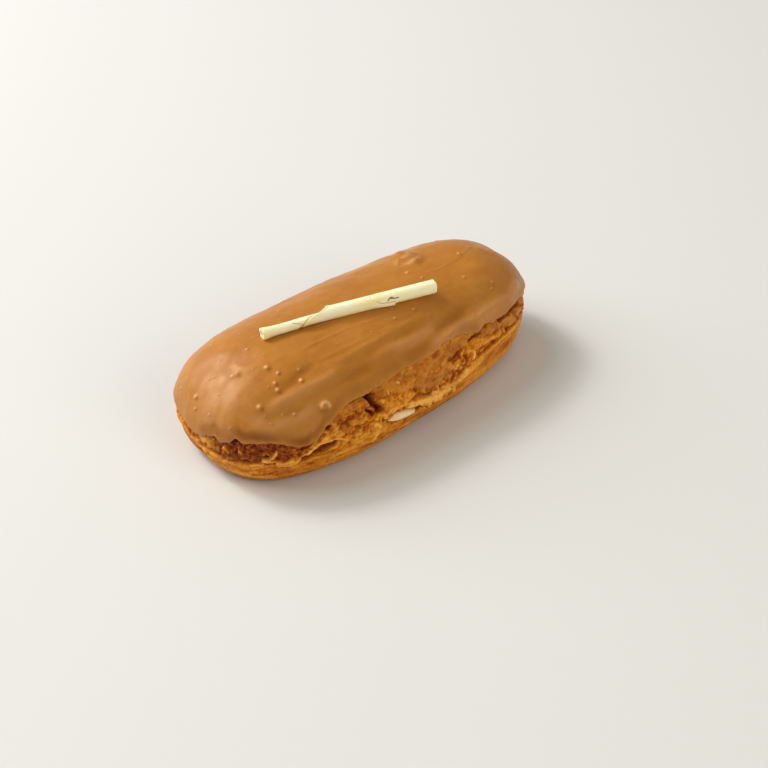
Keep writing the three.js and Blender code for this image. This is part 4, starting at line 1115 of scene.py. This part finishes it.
class Nodes:
    """Builds a node material step by step."""

    def __init__(self, name):
        self.material = bpy.data.materials.new(name)
        self.material.use_nodes = True
        self.tree = self.material.node_tree
        self.tree.nodes.clear()
        self.shader = self.add("BsdfPrincipled", {})
        self.add("OutputMaterial", {0: self.shader.outputs[0]})
        self.place = self.add("TexCoord", {}).outputs["Object"]

    def join(self, socket, value):
        if isinstance(value, bpy.types.NodeSocket):
            self.tree.links.new(value, socket)
        else:
            socket.default_value = value

    def add(self, kind, inputs, **settings):
        """New node with its settings and its inputs, each by name or number."""
        node = self.tree.nodes.new("ShaderNode" + kind)
        for name, value in settings.items():
            setattr(node, name, value)
        for key, value in inputs.items():
            self.join(node.inputs[key], value)
        return node

    def set(self, **values):
        """Inputs of the shader."""
        for name, value in values.items():
            self.join(self.shader.inputs[name.replace("_", " ")], value)

    def tone(self, name):
        return self.add("Attribute", {}, attribute_name=name).outputs["Fac"]

    def scaled(self, size, stretch=(1, 1, 1), turn=(0, 0, 0)):
        """Place on the part, in steps of size millimetres."""
        scale = [1 / (MM * size * s) for s in stretch]
        rotation = [math.radians(a) for a in turn]
        return self.add("Mapping", {"Vector": self.place, "Scale": scale, "Rotation": rotation}).outputs[0]

    def noise(self, size, detail=3.0, roughness=0.5, stretch=(1, 1, 1), turn=(0, 0, 0)):
        """Noise from 0 to 1 with features of about size millimetres."""
        place = self.scaled(size, stretch, turn)
        inputs = {"Vector": place, "Scale": 1.0, "Detail": detail, "Roughness": roughness}
        return self.add("TexNoise", inputs).outputs["Fac"]

    def cells(self, size):
        return self.add("TexVoronoi", {"Vector": self.scaled(size), "Scale": 1.0}).outputs["Distance"]

    def height(self):
        return self.add("SeparateXYZ", {0: self.place}).outputs["Z"]

    def ramp(self, value, *stops):
        """Display colours at positions from 0 to 1: position, red, green, blue."""
        node = self.add("ValToRGB", {0: value})
        elements = node.color_ramp.elements
        while len(elements) < len(stops):
            elements.new(0.5)
        for element, (position, *colour) in zip(elements, stops):
            element.position = position
            element.color = linear(*colour)
        return node.outputs["Color"]

    def span(self, value, low, high, to_low=0.0, to_high=1.0):
        """Value eased from one range to another."""
        inputs = dict(enumerate((value, low, high, to_low, to_high)))
        return self.add("MapRange", inputs, interpolation_type="SMOOTHSTEP").outputs[0]

    def maths(self, operation, a, b):
        return self.add("Math", {0: a, 1: b}, operation=operation).outputs[0]

    def mix(self, share, colour, *display):
        """Colour mixed with a display colour, or with the one socket given."""
        other = display[0] if len(display) == 1 else linear(*display)
        return self.add("Mix", {0: share, 6: colour, 7: other}, data_type="RGBA").outputs[2]

    def bump(self, height, distance, strength=1.0, under=None):
        inputs = {"Distance": distance * MM, "Strength": strength, "Height": height}
        if under is not None:
            inputs["Normal"] = under
        return self.add("Bump", inputs).outputs[0]


def baked_crust():
    n = Nodes("baked_crust")
    fine = n.noise(1.0, 4, 0.6)
    # The bake tone is browning that is partly painted shade.
    both = n.maths("ADD", n.maths("MULTIPLY", n.tone("bake_and_shade"), 0.6), n.maths("MULTIPLY", fine, 0.4))
    colour = n.ramp(both, (0.26, 128, 54, 0), (0.42, 172, 89, 0), (0.56, 204, 122, 8), (0.7, 236, 164, 44))
    # Painted shade darkens the crust towards the floor.
    floor = n.span(n.height(), 0.0, 5 * MM, 1.0, 0.0)
    colour = n.mix(n.maths("MULTIPLY", floor, 0.6), colour, 164, 88, 6)
    colour = n.mix(n.tone("bright"), colour, n.ramp(fine, (0.35, 222, 130, 20), (0.65, 240, 168, 56)))
    film = n.ramp(both, (0.25, 156, 88, 12), (0.65, 190, 118, 32))
    colour = n.mix(n.maths("MULTIPLY", n.tone("film"), 0.9), colour, film)
    # The dark tone is the burnt band and red-brown patches, with painted shade in cracks, pockets, grooves,
    # the split and the recess under the icing.
    burnt = n.ramp(fine, (0.3, 96, 28, 2), (0.5, 144, 60, 6), (0.7, 196, 108, 28))
    colour = n.mix(n.tone("dark"), colour, burnt)
    colour = n.mix(n.tone("pale"), colour, n.ramp(fine, (0.35, 242, 156, 44), (0.6, 255, 200, 98)))
    # The pit tone is painted shade in holes, crevices and pores.
    colour = n.mix(n.tone("pit"), colour, 88, 25, 2)
    matt = n.span(n.tone("film"), 0.0, 0.8, 0.55, 0.32)
    rough = n.span(n.tone("film"), 0.0, 0.8, 1.0, 0.35)
    grain = n.bump(n.maths("MULTIPLY", n.noise(0.5, 3, 0.6), rough), 0.16, 1.0)
    skin = n.bump(n.maths("MULTIPLY", n.noise(1.4, 4, 0.6), rough), 0.32, 0.8, grain)
    n.set(Base_Color=colour, Roughness=matt, Normal=skin, Specular_IOR_Level=0.22)
    n.set(Subsurface_Weight=0.1, Subsurface_Scale=0.8 * MM, Subsurface_Radius=(1.0, 0.5, 0.2))
    return n.material


def shaded_crumb_inside():
    n = Nodes("shaded_crumb_inside")
    # The crumb inside is darkened to red-brown, a painted shade for the dark hollow seen through the slit.
    colour = n.ramp(n.noise(1.5, 4), (0.3, 150, 76, 18), (0.7, 200, 122, 44))
    n.set(Base_Color=colour, Roughness=0.8, Normal=n.bump(n.cells(1.1), 0.5, 0.8))
    return n.material


def caramel_icing():
    n = Nodes("caramel_icing")
    broad = n.noise(20, 2)
    fine = n.noise(2.2, 4)
    both = n.maths("ADD", n.maths("MULTIPLY", broad, 0.75), n.maths("MULTIPLY", fine, 0.25))
    colour = n.ramp(both, (0.3, 168, 105, 28), (0.7, 192, 127, 46))
    # Painted shade on the low band.
    colour = n.mix(n.tone("low"), colour, 140, 76, 0)
    # Painted sheen on ridges and on the mottled left end.
    colour = n.mix(n.tone("pale"), colour, 210, 152, 100)
    # Amber painted shade in hollows and on the bubbles' shaded sides.
    colour = n.mix(n.tone("amber"), colour, 158, 92, 6)
    # Painted glints on the bubbles' lit sides.
    colour = n.mix(n.tone("glint"), colour, 244, 196, 140)
    # Small pale specks as painted glints.
    glint_specks = n.span(n.noise(0.7, 2), 0.68, 0.78)
    colour = n.mix(n.maths("MULTIPLY", glint_specks, 0.3), colour, 226, 170, 100)
    matt = n.span(n.noise(5, 3), 0.3, 0.7, 0.36, 0.46)
    matt = n.maths("ADD", matt, n.maths("MULTIPLY", n.tone("low"), 0.35))
    skin = n.bump(n.noise(0.9, 3), 0.09, 0.5)
    skin = n.bump(n.noise(3.8, 4, 0.55, (1.6, 1, 1)), 0.34, 0.7, skin)
    n.set(Base_Color=colour, Roughness=matt, Normal=skin, Specular_IOR_Level=0.4)
    n.set(Specular_Tint=(1.0, 0.92, 0.82, 1), Coat_Weight=0.04, Coat_Roughness=0.16)
    n.set(Subsurface_Weight=0.12, Subsurface_Scale=1.2 * MM, Subsurface_Radius=(1.0, 0.5, 0.18))
    return n.material


def pastry_cream():
    n = Nodes("pastry_cream")
    colour = n.ramp(n.noise(1.6, 3), (0.3, 252, 210, 146), (0.7, 255, 230, 188))
    n.set(Base_Color=colour, Roughness=0.45, Normal=n.bump(n.noise(0.8, 3), 0.2, 0.5))
    n.set(Subsurface_Weight=0.3, Subsurface_Scale=1.5 * MM)
    return n.material


def white_chocolate():
    n = Nodes("white_chocolate")
    colour = n.ramp(n.noise(3, 3, 0.5, (4, 1, 1)), (0.3, 253, 240, 178), (0.7, 255, 252, 220))
    # Painted shade in the stick's cracks and crease.
    colour = n.mix(n.tone("crack"), colour, 204, 174, 106)
    colour = n.mix(n.tone("fleck"), colour, 140, 84, 50)
    skin = n.bump(n.noise(1.2, 4, 0.6, (5, 1, 1), (0, 0, 15)), 0.1, 0.6)
    n.set(Base_Color=colour, Roughness=0.48, Normal=skin)
    n.set(Subsurface_Weight=0.25, Subsurface_Scale=1.2 * MM)
    return n.material


def pale_floor():
    n = Nodes("pale_floor")
    n.set(Base_Color=linear(218, 219, 217), Roughness=0.75)
    return n.material


# ---------- The pieces ----------

def dress(piece, node):
    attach(piece, "root")
    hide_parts(node)
    return piece


def make_icing():
    grid, tones = icing_grid()
    points, faces = zipped_skin(grid)
    return make_piece("icing_skin", points, faces, caramel_icing(), tones)


def make_crust():
    grid, tones = crust_grid()
    points, faces = zipped_skin(grid)
    crust = make_piece("choux_crust", points, faces, baked_crust(), tones)
    inside = shaded_crumb_inside()
    room = make_piece("room", *capped_skin(cream_log(GAP)), inside)
    bar = slit_bar(SLIT_FROM, SLIT_TO, 0, np.linspace(TONGUE_BACK, SLIT_FRONT, 12))
    combine(room, make_piece("slit", *capped_skin(bar), inside), "UNION")
    crust.data.materials.append(inside)
    return combine(crust, room, "DIFFERENCE")


def make_cream():
    cream = pastry_cream()
    log = make_piece("cream_filling", *capped_skin(cream_log(0)), cream)
    run = np.linspace(0, 1, 30)
    sizes = np.sqrt(1 - smooth(0.88, 1.03, run) ** 2)
    depths = TONGUE_BACK + (CREAM_FRONT - TONGUE_BACK) * run
    tongue = slit_bar(SLIT_FROM + GAP, TONGUE_TO, 0.5 * GAP, depths, sizes)
    return combine(log, make_piece("tongue", *capped_skin(tongue), cream), "UNION")


def make_stick():
    points, faces = capped_skin([stick_ring(*step) for step in stick_steps()])
    return make_piece("chocolate_roll", points, faces, white_chocolate(), stick_tones())


# ---------- Camera, light and floor ----------

CAMERA_AT = (-293.71, -353.55, 356.37)
CAMERA_TO = (7.68, -5.87, 0.0)
LENS = 81.48
SENSOR = 36.0

# Distances and sizes of the lights are in metres: direction, distance, size, watts, colour, seen in gloss.
LIGHT_TARGET = (0, 0, 0.02)
DAYLIGHT = (1, 0.99, 0.97)
LIGHTS = {
    "key": ((-0.4, 0.7, 0.65), 1.5, 1.6, 20, DAYLIGHT, True),
    "key_core": ((-0.3, 0.75, 0.8), 1.5, 0.35, 8.2, DAYLIGHT, False),
    "fill": ((0.1, -0.85, 0.5), 1.8, 1.4, 11, (1, 0.9, 0.76), False),
}
ROOM_COLOUR = (1.0, 0.955, 0.88, 1)
ROOM_STRENGTH = 0.36
FLOOR_HALF = 3.0


def place(point):
    return Vector(((np.array(point) + SHIFT) * MM).tolist())


def aim(thing, at, target):
    thing.location = at
    thing.rotation_euler = (target - at).to_track_quat("-Z", "Y").to_euler()
    bpy.context.scene.collection.objects.link(thing)


def make_camera():
    camera = bpy.data.cameras.new("camera")
    camera.lens = LENS
    camera.sensor_width = SENSOR
    camera.sensor_fit = "HORIZONTAL"
    camera.clip_start = 0.01
    thing = bpy.data.objects.new("camera", camera)
    aim(thing, place(CAMERA_AT), place(CAMERA_TO))
    bpy.context.scene.camera = thing


def softbox(name, direction, distance, size, watts, colour, in_gloss):
    light = bpy.data.lights.new(name, "AREA")
    light.shape = "DISK"
    light.size = size
    light.energy = watts
    light.color = colour
    thing = bpy.data.objects.new(name, light)
    thing.visible_glossy = in_gloss
    aim(thing, Vector(direction).normalized() * distance, Vector(LIGHT_TARGET))


def make_light():
    world = bpy.data.worlds.new("studio")
    bpy.context.scene.world = world
    world.use_nodes = True
    background = world.node_tree.nodes["Background"]
    background.inputs[0].default_value = ROOM_COLOUR
    background.inputs[1].default_value = ROOM_STRENGTH
    for name, settings in LIGHTS.items():
        softbox(name, *settings)
    bpy.context.scene.view_settings.view_transform = "Standard"


def make_floor():
    mesh = bpy.data.meshes.new("floor")
    corners = [(x * FLOOR_HALF, y * FLOOR_HALF, 0) for x, y in ((-1, -1), (1, -1), (1, 1), (-1, 1))]
    mesh.from_pydata(corners, [], [(0, 1, 2, 3)])
    mesh.materials.append(pale_floor())
    floor = bpy.data.objects.new("floor", mesh)
    bpy.context.scene.collection.objects.link(floor)


make_camera()
make_light()
make_floor()
dress(make_crust(), "choux")
dress(make_icing(), "icing")
dress(make_cream(), "cream")
dress(make_stick(), "chocolate_stick")
